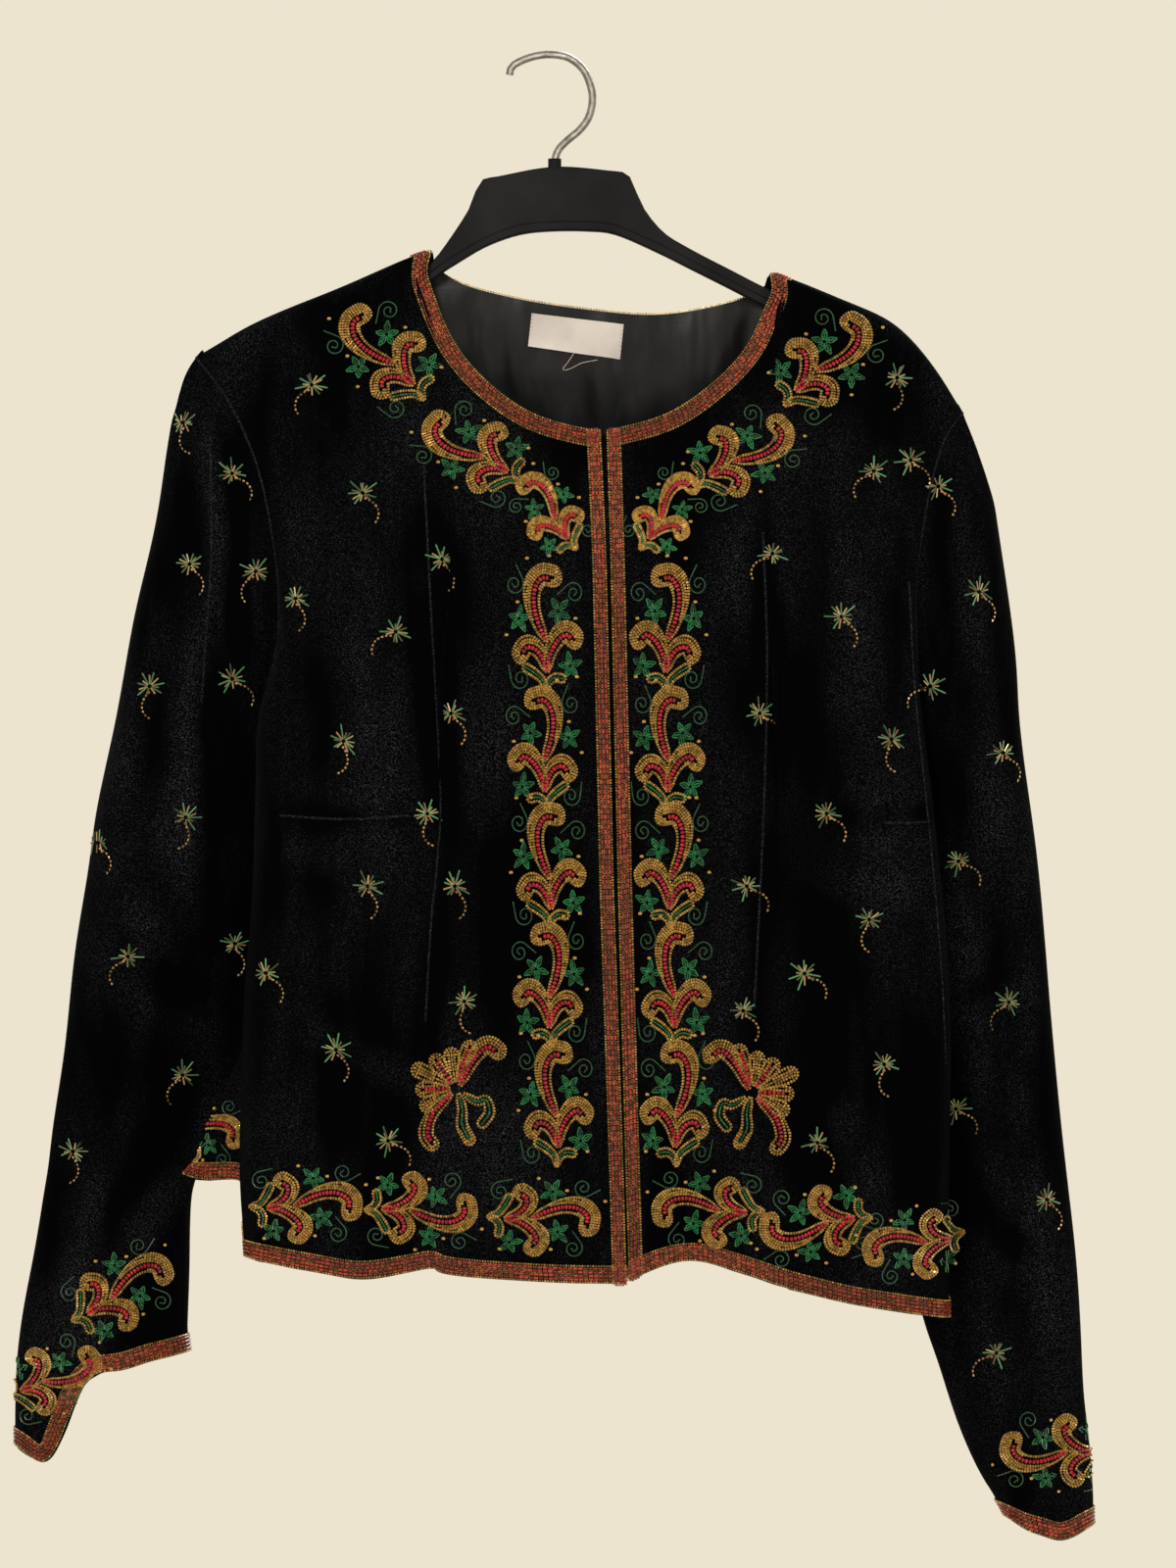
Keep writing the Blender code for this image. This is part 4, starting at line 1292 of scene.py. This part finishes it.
@dataclass(frozen=True)
class Band:
    """A curling band of the border: bead core, gold edges, and gold filling that swells to its head."""

    spine: Knots
    tail: float = 2.3
    head: float = 6.0
    outside: int = 1
    curl: float = 0.45
    cored: bool = True
    # Distance between samples of the spine, and the most rows of filling on either side of it.
    step: ClassVar[float] = 0.8
    fills: ClassVar[int] = 5
    gold_radius: ClassVar[float] = 0.78
    core_pitch: ClassVar[float] = 2.3
    bugle_pitch: ClassVar[float] = 2.4

    def sew(self, needle: Needle, spot: Spot, gold: BeadLot, core: BeadLot, pitch: float = 1.65) -> None:
        """Sews the band.

        Args:
            needle: What sews it.
            spot: Where the motif is.
            gold: Lot for the edges and the filling.
            core: Lot for the beads along the middle.
            pitch: Distance between beads and between rows.
        """
        mid = spline(self.spine, self.step)
        share = np.linspace(0, 1, len(mid))
        for line in self.gold_rows(mid, share, pitch):
            needle.row(gold, spot, evened(line, pitch), pitch * 0.95, self.gold_radius, Cut.ROUND)
        if self.cored:
            heart = mid[(share > 0.02) & (share < 0.93)]
            needle.row(core, spot, evened(heart, self.core_pitch), 2.2, 1.15, Cut.ROUND, (0.15, 0.95))
        else:
            needle.row(core, spot, evened(mid[share > 0.08], self.bugle_pitch), 2.2, 0.5, Cut.BUGLE)

    def gold_rows(self, mid: Array, share: Array, pitch: float) -> list[Array]:
        """Lines of gold beads beside the middle of the band and around its head.

        Args:
            mid: Points along the middle.
            share: How far along the band each point is, 0 to 1.
            pitch: Distance between rows.

        Returns:
            Points of each line long enough to carry beads.
        """
        way = headings(mid)
        left = np.column_stack([-way[:, 1], way[:, 0]]) * self.outside
        swell = np.clip((share - 0.15) / 0.6, 0, 1) ** 1.2
        point = 0.35 + 0.65 * np.clip(share / 0.14, 0, 1)
        narrow = max(self.head * self.curl, self.tail)
        wide, thin = ((self.tail + (head - self.tail) * swell) * point for head in (self.head, narrow))
        rows = []
        for sign, reach in ((1, wide), (-1, thin)):
            rows.append(mid + left * (sign * reach)[:, None])
            for k in range(self.fills):
                off = self.tail + k * pitch
                rows.append((mid + left * sign * off)[reach - off > pitch * 0.6])
        for k in range(int((wide[-1] - 1.0) / pitch) + 1):
            inner = k * pitch
            a = np.linspace(math.pi / 2, -math.pi / 2, max(5, int((wide[-1] - inner) * 2)))
            out = (wide[-1] + thin[-1]) / 2 - inner
            side = np.where(np.sin(a) > 0, wide[-1] - inner, max(thin[-1] - inner, 0.8))
            if out > 0.9:
                arc = mid[-1] + np.outer(np.cos(a) * out, way[-1]) + np.outer(np.sin(a) * side, left[-1])
                rows.append(arc)
        return [line for line in rows if len(line) > 3]


@dataclass(frozen=True)
class Motif:
    """One repeat of the border: a hooked band, two arms, a forked stem, leaves, tendrils and dots."""

    bands: Sequence[Band] = (
        Band([(1, -13), (-3.5, -4), (-6.5, 6), (-6, 15), (-1.5, 21), (5, 20.5)], 2.7, 7.6, 1, 0.5),
        Band([(2, -30), (-1, -23), (-5.5, -18), (-11, -17), (-14, -21)], 2.6, 6.4, -1, 0.55),
        Band([(2, -30), (3.5, -22), (8, -14), (14, -10), (18, -13)], 2.6, 7.4, 1, 0.5))
    stems: Sequence[Band] = (
        Band([(1, -41), (-1, -35), (-6, -31), (-11.5, -28)], 1.7, 2.2, 1, 1.0, False),
        Band([(1, -41), (3, -36), (7, -33.5), (11.5, -34)], 1.7, 2.2, 1, 1.0, False))
    leaves: Sequence[tuple[float, float, float]] = ((-16, -1, 10), (9, 3, 50), (16.5, -27, 25))
    tendrils: Sequence[tuple[float, float, float, int]] = (
        (-19, 18, 200, 1), (19, 13, 300, 1), (-15, -34, 20, -1))
    dots: Knots = ((-17, 8), (20, -1), (-24, -10), (21, -33), (-11, 32))
    lobes: ClassVar[int] = 5

    def leaf(self, needle: Needle, spot: Spot, green: BeadLot, at: tuple[float, float, float]) -> None:
        """Sews a leaf of pointed lobes, each drawn by four bugles and a vein."""
        centre = np.array(at[:2])
        for k in range(self.lobes):
            out, over = compass(at[2] + k * 360 / self.lobes + needle.rng.uniform(-7, 7))
            long = needle.rng.uniform(6.6, 9.0)
            half = 0.5 * long
            sides = [ends for s in (1, -1) for ends in (((0.8, 0.3 * s), (half, 1.75 * s)),
                                                        ((half, 1.75 * s), (long, 0.1 * s)))]
            for ends in (*sides, ((0.25 * long, 0), (0.75 * long, 0))):
                needle.bugle(green, spot, [centre + out * e[0] + over * e[1] for e in ends], 0.38)

    def tendril(self, needle: Needle, spot: Spot, vine: BeadLot, at: tuple[float, float, float, int]) -> None:
        """Sews a thin spiral with a loose tail."""
        turn = np.linspace(0, 3.1 * math.pi, 60)
        r = 1.0 + turn * 0.52
        a = math.radians(at[2]) + at[3] * turn
        coil = np.column_stack([at[0] + r * np.cos(a), at[1] + r * np.sin(a)])
        tail = coil[-1] + np.outer(np.linspace(0.5, 7, 8), headings(coil)[-1])
        needle.row(vine, spot, evened(np.vstack([coil, tail]), 2.1), 2.05, 0.33, Cut.BUGLE, (0.25, 0.9))

    def sew(self, needle: Needle, spot: Spot, lots: Lots) -> None:
        """Sews the whole repeat.

        Args:
            needle: What sews it.
            spot: Where it goes.
            lots: Bead lots named gold, crimson, green and vine.
        """
        sew_bands(self, needle, spot, lots)
        for at in self.leaves:
            self.leaf(needle, spot, lots["green"], at)
        for at in self.tendrils:
            self.tendril(needle, spot, lots["vine"], at)
        for at in self.dots:
            needle.row(lots["gold"], spot, np.array([at], float), 2.0, 1.05, Cut.ROUND, (0.6, 1.0))


@dataclass(frozen=True)
class Blossom:
    """An open flower seen from the side: a fan of petals between two curling bands, over a pair of stems."""

    petals: int = 6
    fan: Pair = (78.0, 205.0)
    bands: Sequence[Band] = (
        Band([(2, 2), (6, 10), (11, 18), (17, 23), (22, 20)], 2.2, 5.6, 1, 0.6),
        Band([(-3, -3), (-9, -9), (-14, -16), (-16, -25), (-13, -30)], 2.2, 4.6, -1, 0.6))
    stems: Sequence[Band] = (
        Band([(1, -3), (3, -11), (3, -20), (7, -28)], 2.0, 3.0, 1, 1.0, False),
        Band([(4, -3), (11, -7), (16, -6), (18, -13), (14, -19)], 1.7, 2.6, 1, 1.0, False))

    def sew(self, needle: Needle, spot: Spot, lots: Lots) -> None:
        """Sews the flower."""
        for k in range(self.petals):
            out, over = compass(self.fan[0] + (self.fan[1] - self.fan[0]) * k / (self.petals - 1))
            long = 22 + 3.5 * math.cos(k * 2.1)
            bend = (k - self.petals / 2) * 0.9
            spine = [tuple(out * long * t + over * bend * t * t) for t in (0.2, 0.45, 0.72, 0.92)]
            even = k % 2 == 0
            petal = Band(spine, 1.5, 3.9, 1, 1.0, even)
            petal.sew(needle, spot, lots["gold"], lots["crimson" if even else "gold"])
        sew_bands(self, needle, spot, lots)


def sew_bands(flower: Motif | Blossom, needle: Needle, spot: Spot, lots: Lots) -> None:
    """Sews a motif's bands with crimson cores, then its stems with green ones.

    Args:
        flower: The motif.
        needle: What sews it.
        spot: Where it goes.
        lots: Bead lots by name.
    """
    for bands, core in ((flower.bands, "crimson"), (flower.stems, "green")):
        for band in bands:
            band.sew(needle, spot, lots["gold"], lots[core])


@dataclass(frozen=True)
class Sprig:
    """A small burst of green and gold bugles on a curved stem."""

    rays: int = 13
    heart: float = 0.7
    stem: Knots = ((1.0, -2.4), (3.4, -4.0), (5.4, -6.8), (5.6, -10.2), (4.2, -12.6))
    pitch: float = 1.75

    def sew(self, needle: Needle, spot: Spot, lots: Lots) -> None:
        """Sews the sprig."""
        for k in range(self.rays):
            out, _ = compass(-50 + k * 330 / self.rays + needle.rng.uniform(-9, 9))
            far = needle.rng.uniform(4.4, 7.6) if k % 2 else needle.rng.uniform(3.4, 5.2)
            needle.bugle(lots["green" if k % 2 else "bronze"], spot, [out * self.heart, out * far], 0.42)
        stem = spline(self.stem, self.pitch)
        needle.row(lots["bronze"], spot, stem, self.pitch, 0.56, Cut.ROUND, (0.0, 1.0))


@dataclass
class Embroidery:
    """All the sewn ornament: border repeats, blossoms and scattered sprigs."""

    ground: Ground
    rng: np.random.Generator
    borders: dict[str, Sequence[Spot]]
    blossoms: dict[str, Sequence[Spot]]
    sprigs: Sequence[Spot]

    def build(self, materials: Materials) -> None:
        """Sews everything and joins each colour of each part into a piece."""
        needle = Needle(self.ground, self.rng)
        for part, places in self.borders.items():
            lots = {key: BeadLot(f"{name}_{part}", finish) for key, (name, finish) in BORDER_LOTS.items()}
            for spot in places:
                Motif().sew(needle, spot, lots)
            for spot in self.blossoms.get(part, ()):
                Blossom().sew(needle, spot, lots)
            for lot in lots.values():
                lot.build(materials)
        lots = {"green": BeadLot("sprig_rays", MOSS), "bronze": BeadLot("sprig_stems", BRONZE)}
        for spot in self.sprigs:
            Sprig().sew(needle, spot, lots)
        for lot in lots.values():
            lot.build(materials)


@dataclass
class HangerFinish:
    """Materials of the hanger's CAD nodes, which keep their own shape."""

    finishes: Sequence[tuple[str, PlainFinish]] = (("hanger_body", PLASTIC), ("hanger_hook", STEEL))

    def dress(self, frame: dict) -> None:
        """Gives the moulded body and the wire hook their finish."""
        for node, finish in self.finishes:
            obj = frame["nodes"][node]
            material = finish.make()
            if obj.data.materials:
                for slot in obj.material_slots:
                    slot.material = material
            else:
                obj.data.materials.append(material)
            LOG.info("%s: dressed", node)


@dataclass
class Studio:
    """Camera, floor and light."""

    middle: Pair = (0.0186, -0.394)
    height: float = 0.848
    plane: float = -0.02
    distance: float = 5.0
    sensor: float = 36.0
    floor: float = -1.25
    radius: float = 2.2
    paper: Colour = (0.84, 0.775, 0.625)
    aim: Place = (0.02, 0, -0.4)

    def build(self) -> None:
        """Sets up the whole studio."""
        self.camera()
        self.ground()
        self.light()

    def camera(self) -> None:
        """Places the camera square on to the front, as in the photograph."""
        lens = bpy.data.cameras.new("camera")
        lens.sensor_width = self.sensor
        lens.lens = self.sensor * self.distance / self.height
        lens.clip_end = 60
        camera = new_object("camera", lens)
        camera.location = (self.middle[0], self.plane - self.distance, self.middle[1])
        camera.rotation_euler = (math.pi / 2, 0, 0)
        bpy.context.scene.camera = camera

    def ground(self) -> None:
        """Lays a plain pale floor well below the cuffs."""
        for other in bpy.context.view_layer.objects:
            other.select_set(False)
        bpy.ops.mesh.primitive_circle_add(vertices=96, radius=self.radius, fill_type="NGON",
                                          location=(0, 0, self.floor))
        floor = bpy.context.object
        floor.name = "floor"
        bpy.ops.object.transform_apply(location=True, rotation=True, scale=True)
        floor.data.materials.append(PAPER.make())

    def lamp(self, name: str, place: Place, size: float, power: float, colour: Colour) -> None:
        """Hangs one soft square lamp that points at the jacket.

        Args:
            name: Name of the lamp.
            place: Where it hangs.
            size: Side of its face.
            power: Power in watts.
            colour: Colour of its light.
        """
        light = bpy.data.lights.new(name, "AREA")
        light.size, light.energy, light.color = size, power, colour
        lamp = new_object(name, light)
        lamp.location = place
        lamp.rotation_euler = (Vector(self.aim) - Vector(place)).to_track_quat("-Z", "Y").to_euler()

    def light(self) -> None:
        """Lights the jacket softly from above in front, with a weaker light behind."""
        world = bpy.data.worlds.new("studio")
        world.use_nodes = True
        n = Nodes(world.node_tree)
        n.feed(n.find("BACKGROUND"), Color=(*self.paper, 1), Strength=1.0)
        bpy.context.scene.world = world
        bpy.context.scene.view_settings.view_transform = "Standard"
        self.lamp("key", (-0.5, -2.2, 0.7), 0.45, 34, (1, 0.96, 0.9))
        self.lamp("fill", (1.5, -1.7, 0.2), 1.0, 10, (0.95, 0.97, 1))
        self.lamp("behind", (0.6, 2.0, 0.9), 0.9, 22, (1, 0.97, 0.93))


def spots(places: Iterable[tuple[float, ...]], side: Side = Side.FRONT) -> list[Spot]:
    """Turns places given as x, z, turn, size, hand and so on into spots."""
    return [Spot(*place, side=side) for place in places]


def creases(*rows: tuple, side: Side = Side.FRONT) -> list[Crease]:
    """Turns rows of a width, a height and the points of a line into creases."""
    return [Crease(line, width, height, side) for width, height, *line in rows]


# Creases of each panel: width and height in millimetres, then the points of the line on the view.
CREASES = {
    "front_right": creases(
        (8.0, -1.8, (-68, -209), (-66, -300), (-60, -404), (-66, -480), (-69, -521), (-72, -600)),
        (6.0, -1.6, (-146, -408), (-120, -412), (-77, -413)),
        (8.0, 1.3, (-150, -430), (-110, -436)),
        (9.0, 1.5, (-140, -520), (-95, -546), (-60, -560)),
        (12.0, 1.2, (-130, -300), (-100, -340), (-90, -390))),
    "front_left": creases(
        (8.0, -1.8, (112, -209), (114, -320), (113, -415), (107, -515), (104, -590)),
        (6.0, -1.6, (151, -410), (180, -413), (209, -408)),
        (9.0, 1.4, (140, -440), (175, -452), (205, -450)),
        (12.0, 2.0, (150, -560), (170, -610), (176, -655)),
        (12.0, 1.3, (170, -250), (160, -310), (150, -370))),
    "sleeve_right": creases(
        (6.0, -2.4, (-180, -180), (-172, -240), (-170, -300), (-160, -350)),
        (9.0, 2.6, (-170, -548), (-202, -606), (-224, -635), (-261, -715)),
        (7.0, 2.2, (-190, -185), (-181, -267), (-197, -341), (-200, -410), (-198, -479)),
        (9.0, 1.8, (-225, -330), (-236, -420), (-240, -470)),
        (8.0, 1.8, (-232, -560), (-250, -620), (-268, -690)),
        (8.0, -2.0, (-240, -470), (-215, -500), (-185, -512)),
        (12.0, 2.0, (-200, -380), (-215, -440), (-238, -500))) + creases(
        (12.0, 1.8, (-190, -420), (-205, -520)),
        (9.0, -2.0, (-225, -560), (-200, -590)), side=Side.BACK),
    "sleeve_left": creases(
        (5.0, -2.0, (214, -215), (206, -270), (202, -330)),
        (11.0, 2.2, (210, -420), (228, -520), (240, -620)),
        (8.0, 2.2, (222, -240), (229, -320), (238, -400), (242, -470)),
        (9.0, 2.0, (250, -540), (262, -620), (270, -700)),
        (8.0, -1.9, (258, -470), (240, -500), (215, -510)),
        (8.0, -2.0, (215, -600), (245, -640), (272, -650))) + creases(
        (12.0, 1.8, (222, -430), (240, -560)),
        (9.0, -2.0, (215, -610), (255, -625)), side=Side.BACK),
    "back": creases(
        (7.0, -1.5, (-90, -270), (-84, -380), (-92, -560)),
        (7.0, -1.5, (130, -270), (126, -390), (132, -580)),
        (6.0, -1.0, (20, -270), (22, -420), (20, -610)),
        (10.0, 1.8, (-120, -400), (-60, -412), (0, -408)),
        (10.0, 1.8, (40, -412), (100, -405), (170, -415)),
        (16.0, 2.2, (-40, -470), (-60, -560), (-50, -600)),
        (16.0, 2.2, (75, -480), (90, -560), (84, -620)), side=Side.BACK)}

# Velvet panels: node, flat size and area in metres, and how often the sheet is subdivided.
PANELS = (("front_right", (0.26, 0.56), 0.104, 3), ("front_left", (0.24, 0.58), 0.095, 3),
          ("back", (0.46, 0.56), 0.193, 2), ("sleeve_right", (0.24, 0.62), 0.108, 3),
          ("sleeve_left", (0.24, 0.62), 0.108, 3))
TUCKS = {"sleeve_right": Tuck.ARMHOLE, "sleeve_left": Tuck.ARMHOLE, "front_left": Tuck.FRONT}
# Where a sleeve is eased sideways under the arm: x and z of the place, and how far, in millimetres.
EASES = {"sleeve_left": (204.0, -368.0, -5.0), "sleeve_right": (-160.0, -370.0, 5.0)}
CALMS = {"back": -250.0}
LABEL = ((-12, -138), (38, -144), (36, -163), (-14, -156))
SEAMS = (
    (Side.FRONT, [(-70, -222), (-66, -300), (-61, -404), (-66, -470), (-69, -522)]),
    (Side.FRONT, [(-148, -411), (-112, -413), (-78, -411)]),
    (Side.FRONT, [(113, -258), (115, -330), (113, -415), (108, -515)]),
    (Side.FRONT, [(178, -415), (192, -415), (206, -414)]),
    (Side.FRONT, [(192, -285), (195, -341), (203, -420), (209, -489), (212, -545)]),
    (Side.FRONT, [(-186, -205), (-185, -256), (-187, -300), (-191, -350)]),
    (Side.BACK, [(20, -235), (22, -400), (20, -560)]),
    (Side.BACK, [(-90, -235), (-84, -380), (-90, -545)]),
    (Side.BACK, [(130, -235), (126, -390), (130, -560)]))

# Border repeats: x, z, turn, size, hand, and where needed a slimness and the one panel to sew on.
BORDER_LOTS = {"gold": ("border_gold", GOLD), "crimson": ("border_crimson", CRIMSON),
               "green": ("border_leaves", EMERALD), "vine": ("border_tendrils", VINE)}
BORDER_RIGHT = (
    (-95, -158, 40, 0.92, 1), (-48, -212, 56, 0.88, 1), (-4, -244, 36, 0.7, -1),
    (-5, -304, 0, 0.98, 1, 0.86), (-5, -369, 4, 0.95, -1, 0.86), (-3, -432, 0, 0.96, 1, 0.86),
    (-2, -496, 3, 0.95, -1, 0.86), (1, -560, 0, 0.96, 1, 0.86), (0, -627, -92, 0.86, 1),
    (-66, -624, -90, 0.86, -1), (-128, -620, -88, 0.86, 1), (-232, -668, -60, 0.86, 1),
    (-268, -716, -64, 0.8, -1), (-190, -584, -90, 0.75, 1, 1.0, "back"))
BORDER_LEFT = (
    (151, -162, -42, 0.92, -1), (107, -214, -56, 0.88, -1), (63, -244, -36, 0.7, 1),
    (62, -304, 0, 0.98, -1, 0.86), (62, -369, -4, 0.95, 1, 0.86), (64, -432, 0, 0.96, -1, 0.86),
    (65, -496, -3, 0.95, 1, 0.86), (67, -560, 0, 0.96, -1, 0.86), (78, -623, 90, 0.86, -1),
    (136, -632, 96, 0.86, 1), (190, -642, 98, 0.82, -1), (268, -758, 84, 0.86, 1))
BORDER_BACK = (
    (-150, -571, -90, 0.86, 1), (-92, -572, -90, 0.86, -1), (-32, -578, -90, 0.86, 1),
    (28, -584, -90, 0.86, -1), (90, -592, -90, 0.86, 1), (150, -602, -90, 0.86, -1),
    (-76, -162, 40, 0.85, 1), (-24, -182, 75, 0.85, -1), (36, -186, 95, 0.85, 1),
    (94, -178, 120, 0.85, -1))
BLOSSOMS = {"right": spots([(-52, -558, 0, 0.98, 1)]), "left": spots([(107, -560, 0, 0.98, -1)])}

SPRIG_SIZE = 1.3
SPRIG_SWAY = 32
SPRIGS_FRONT = (
    (-131, -178), (-103, -237), (-60, -273), (-85, -312), (-55, -356), (-113, -371), (-68, -410),
    (-100, -449), (-53, -449), (-48, -511), (-117, -537), (-89, -586), (-201, -198), (-174, -226),
    (-197, -275), (-161, -279), (-139, -294), (-174, -337), (-219, -341), (-200, -412), (-248, -426),
    (-232, -488), (-174, -481), (-155, -496), (-203, -553), (-263, -595), (186, -174), (173, -225),
    (193, -219), (208, -233), (118, -270), (155, -304), (111, -356), (182, -370), (147, -410),
    (104, -449), (170, -467), (135, -496), (102, -516), (178, -545), (142, -587), (230, -290),
    (204, -341), (244, -377), (220, -436), (248, -513), (219, -571), (269, -621), (241, -704))
BACK_COLUMNS = (-115, -60, -5, 50, 105, 160)
BACK_ROWS = (-232, -286, -340, -394, -448, -502)
BACK_STAGGER = 9
SPRIGS_BACK = (
    *((x + BACK_STAGGER * (j % 2), z) for j, z in enumerate(BACK_ROWS) for x in BACK_COLUMNS),
    (-195, -240), (-205, -320), (-225, -400), (-200, -470), (-240, -540), (-245, -620), (215, -260),
    (232, -340), (222, -420), (245, -500), (225, -580), (258, -660), (268, -740))

# Edge bands: panel, where the band starts, passes and stops, its bugle rows and its distance from the edge.
BACK_NECK = ((-70, -105), (20, -136), (121, -117))
TRIMS = (
    ("front_right", (-70, -105), (-30, -181), (25, -203), 4, 0.7),
    ("front_right", (25, -203), (32, -447), (39, -663), 3, 0.1),
    ("front_right", (39, -663), (-50, -659), (-167, -650), 4, 0.7),
    ("front_left", (121, -117), (83, -179), (29, -203), 4, 0.7),
    ("front_left", (29, -203), (35, -447), (41, -661), 3, 0.1),
    ("front_left", (41, -661), (125, -665), (214, -683), 4, 0.7),
    ("back", *BACK_NECK, 3, 0.7),
    ("back", (-167, -650), (20, -622), (214, -683), 4, 0.7))
TRIM_NODES = ("front_trim_right", "front_trim_left", "back_neck_trim", "back_hem_trim", "cuff_trim_right",
              "cuff_trim_left")


@dataclass
class Jacket:
    """The whole jacket, from cloth to beads."""

    frame: dict
    rng: np.random.Generator
    panels: dict[str, ClothSheet] = field(default_factory=dict)

    def cloth(self) -> None:
        """Cuts and dresses the velvet panels, the lining and the label."""
        velvet = VelvetFinish("black_velvet").make()
        for node, flat, area, levels in PANELS:
            panel = ClothSheet(node, "velvet", flat, area, creases=CREASES[node], levels=levels,
                               tuck=TUCKS.get(node, Tuck.NONE), calm=CALMS.get(node, 0.0),
                               ease=EASES.get(node))
            panel.dress(panel.build(self.frame), velvet, "hung")
            self.panels[node] = panel
        # A lighter copy of the velvet for the seam lines: painted highlight.
        painted_seam_light_velvet = VelvetFinish("velvet_painted_seam_light", (0.004, 0.004, 0.005), (0.058, 0.058, 0.068))
        SeamLines(Ground(self.panels), SEAMS).build(painted_seam_light_velvet.make())
        lining = Lining("lining_back", "lining", (0.2, 0.13), 0.0217, ("back_cloth",), wall=1.0, thick=0.5,
                        side=Wall.INNER)
        satin = SatinFinish("lining_satin", (0.003, 0.003, 0.0035), (0.008, 0.008, 0.009), (0.42, 0.28),
                            wrinkle=0.5)
        lining.dress(lining.build(self.frame), satin.make(), "gathered")
        label = NeckLabel(LABEL)
        woven = SatinFinish("label_satin", (0.42, 0.38, 0.36), (0.56, 0.51, 0.48), (0.6, 0.45), 900.0)
        label.dress(label.build(lining), woven.make())
        label.stitched(lining, self.rng)

    def back_neck_piping(self, gold: BeadLot) -> None:
        """Sews one more row of seed beads along the top edge of the back neck, toward the front."""
        edge = BeadedEdge(self.panels["back"], *BACK_NECK).edge()[0]
        line = evened(edge, 1.5 * MM) + [0, -0.9 * MM, 0]
        up = np.tile([0.0, -0.6, 0.8], (len(line), 1))
        shade = self.rng.uniform(0, 0.8, len(line))
        gold.add(line, headings(line), up, 1.4 * MM, Row.SEED.value[1] * MM, Cut.ROUND, shade)

    def edges(self, materials: Materials) -> None:
        """Sews the edge bands of the fronts, the back and the cuffs."""
        rust, gold = BeadLot("edge_bugles", RUST, sides=5), BeadLot("edge_seeds", GOLD)
        for node, *ends in TRIMS:
            BeadedEdge(self.panels[node], *ends).stitch(rust, gold, self.rng)
        self.back_neck_piping(gold)
        for node in ("sleeve_right", "sleeve_left"):
            loop = min(self.panels[node].rim, key=lambda r: r[:, 2].mean())
            whole = [tuple(loop[k, [0, 2]] / MM) for k in (0, len(loop) // 2, len(loop) - 2)]
            BeadedEdge(self.panels[node], *whole).stitch(rust, gold, self.rng)
        rust.build(materials, *TRIM_NODES)
        gold.build(materials)

    def beads(self) -> None:
        """Sews the edge bands and the ornament."""
        materials = {f.name: f.make() for f in (GOLD, CRIMSON, EMERALD, RUST, BRONZE, VINE, MOSS)}
        self.edges(materials)
        borders = {"right": spots(BORDER_RIGHT), "left": spots(BORDER_LEFT),
                   "back": spots(BORDER_BACK, Side.BACK)}
        sprigs = [Spot(x, z, float(self.rng.uniform(-SPRIG_SWAY, SPRIG_SWAY)), SPRIG_SIZE, 1 if k % 3 else -1,
                       side=side)
                  for side, rows in ((Side.FRONT, SPRIGS_FRONT), (Side.BACK, SPRIGS_BACK))
                  for k, (x, z) in enumerate(rows)]
        Embroidery(Ground(self.panels), self.rng, borders, BLOSSOMS, sprigs).build(materials)


def main() -> None:
    """Loads the frame and dresses the jacket, its hanger and the studio."""
    logging.basicConfig(level=logging.INFO, format="%(name)s: %(message)s")
    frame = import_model()
    Studio().build()
    HangerFinish().dress(frame)
    jacket = Jacket(frame, np.random.default_rng(SEED))
    jacket.cloth()
    jacket.beads()


if __name__ == "__main__":
    main()
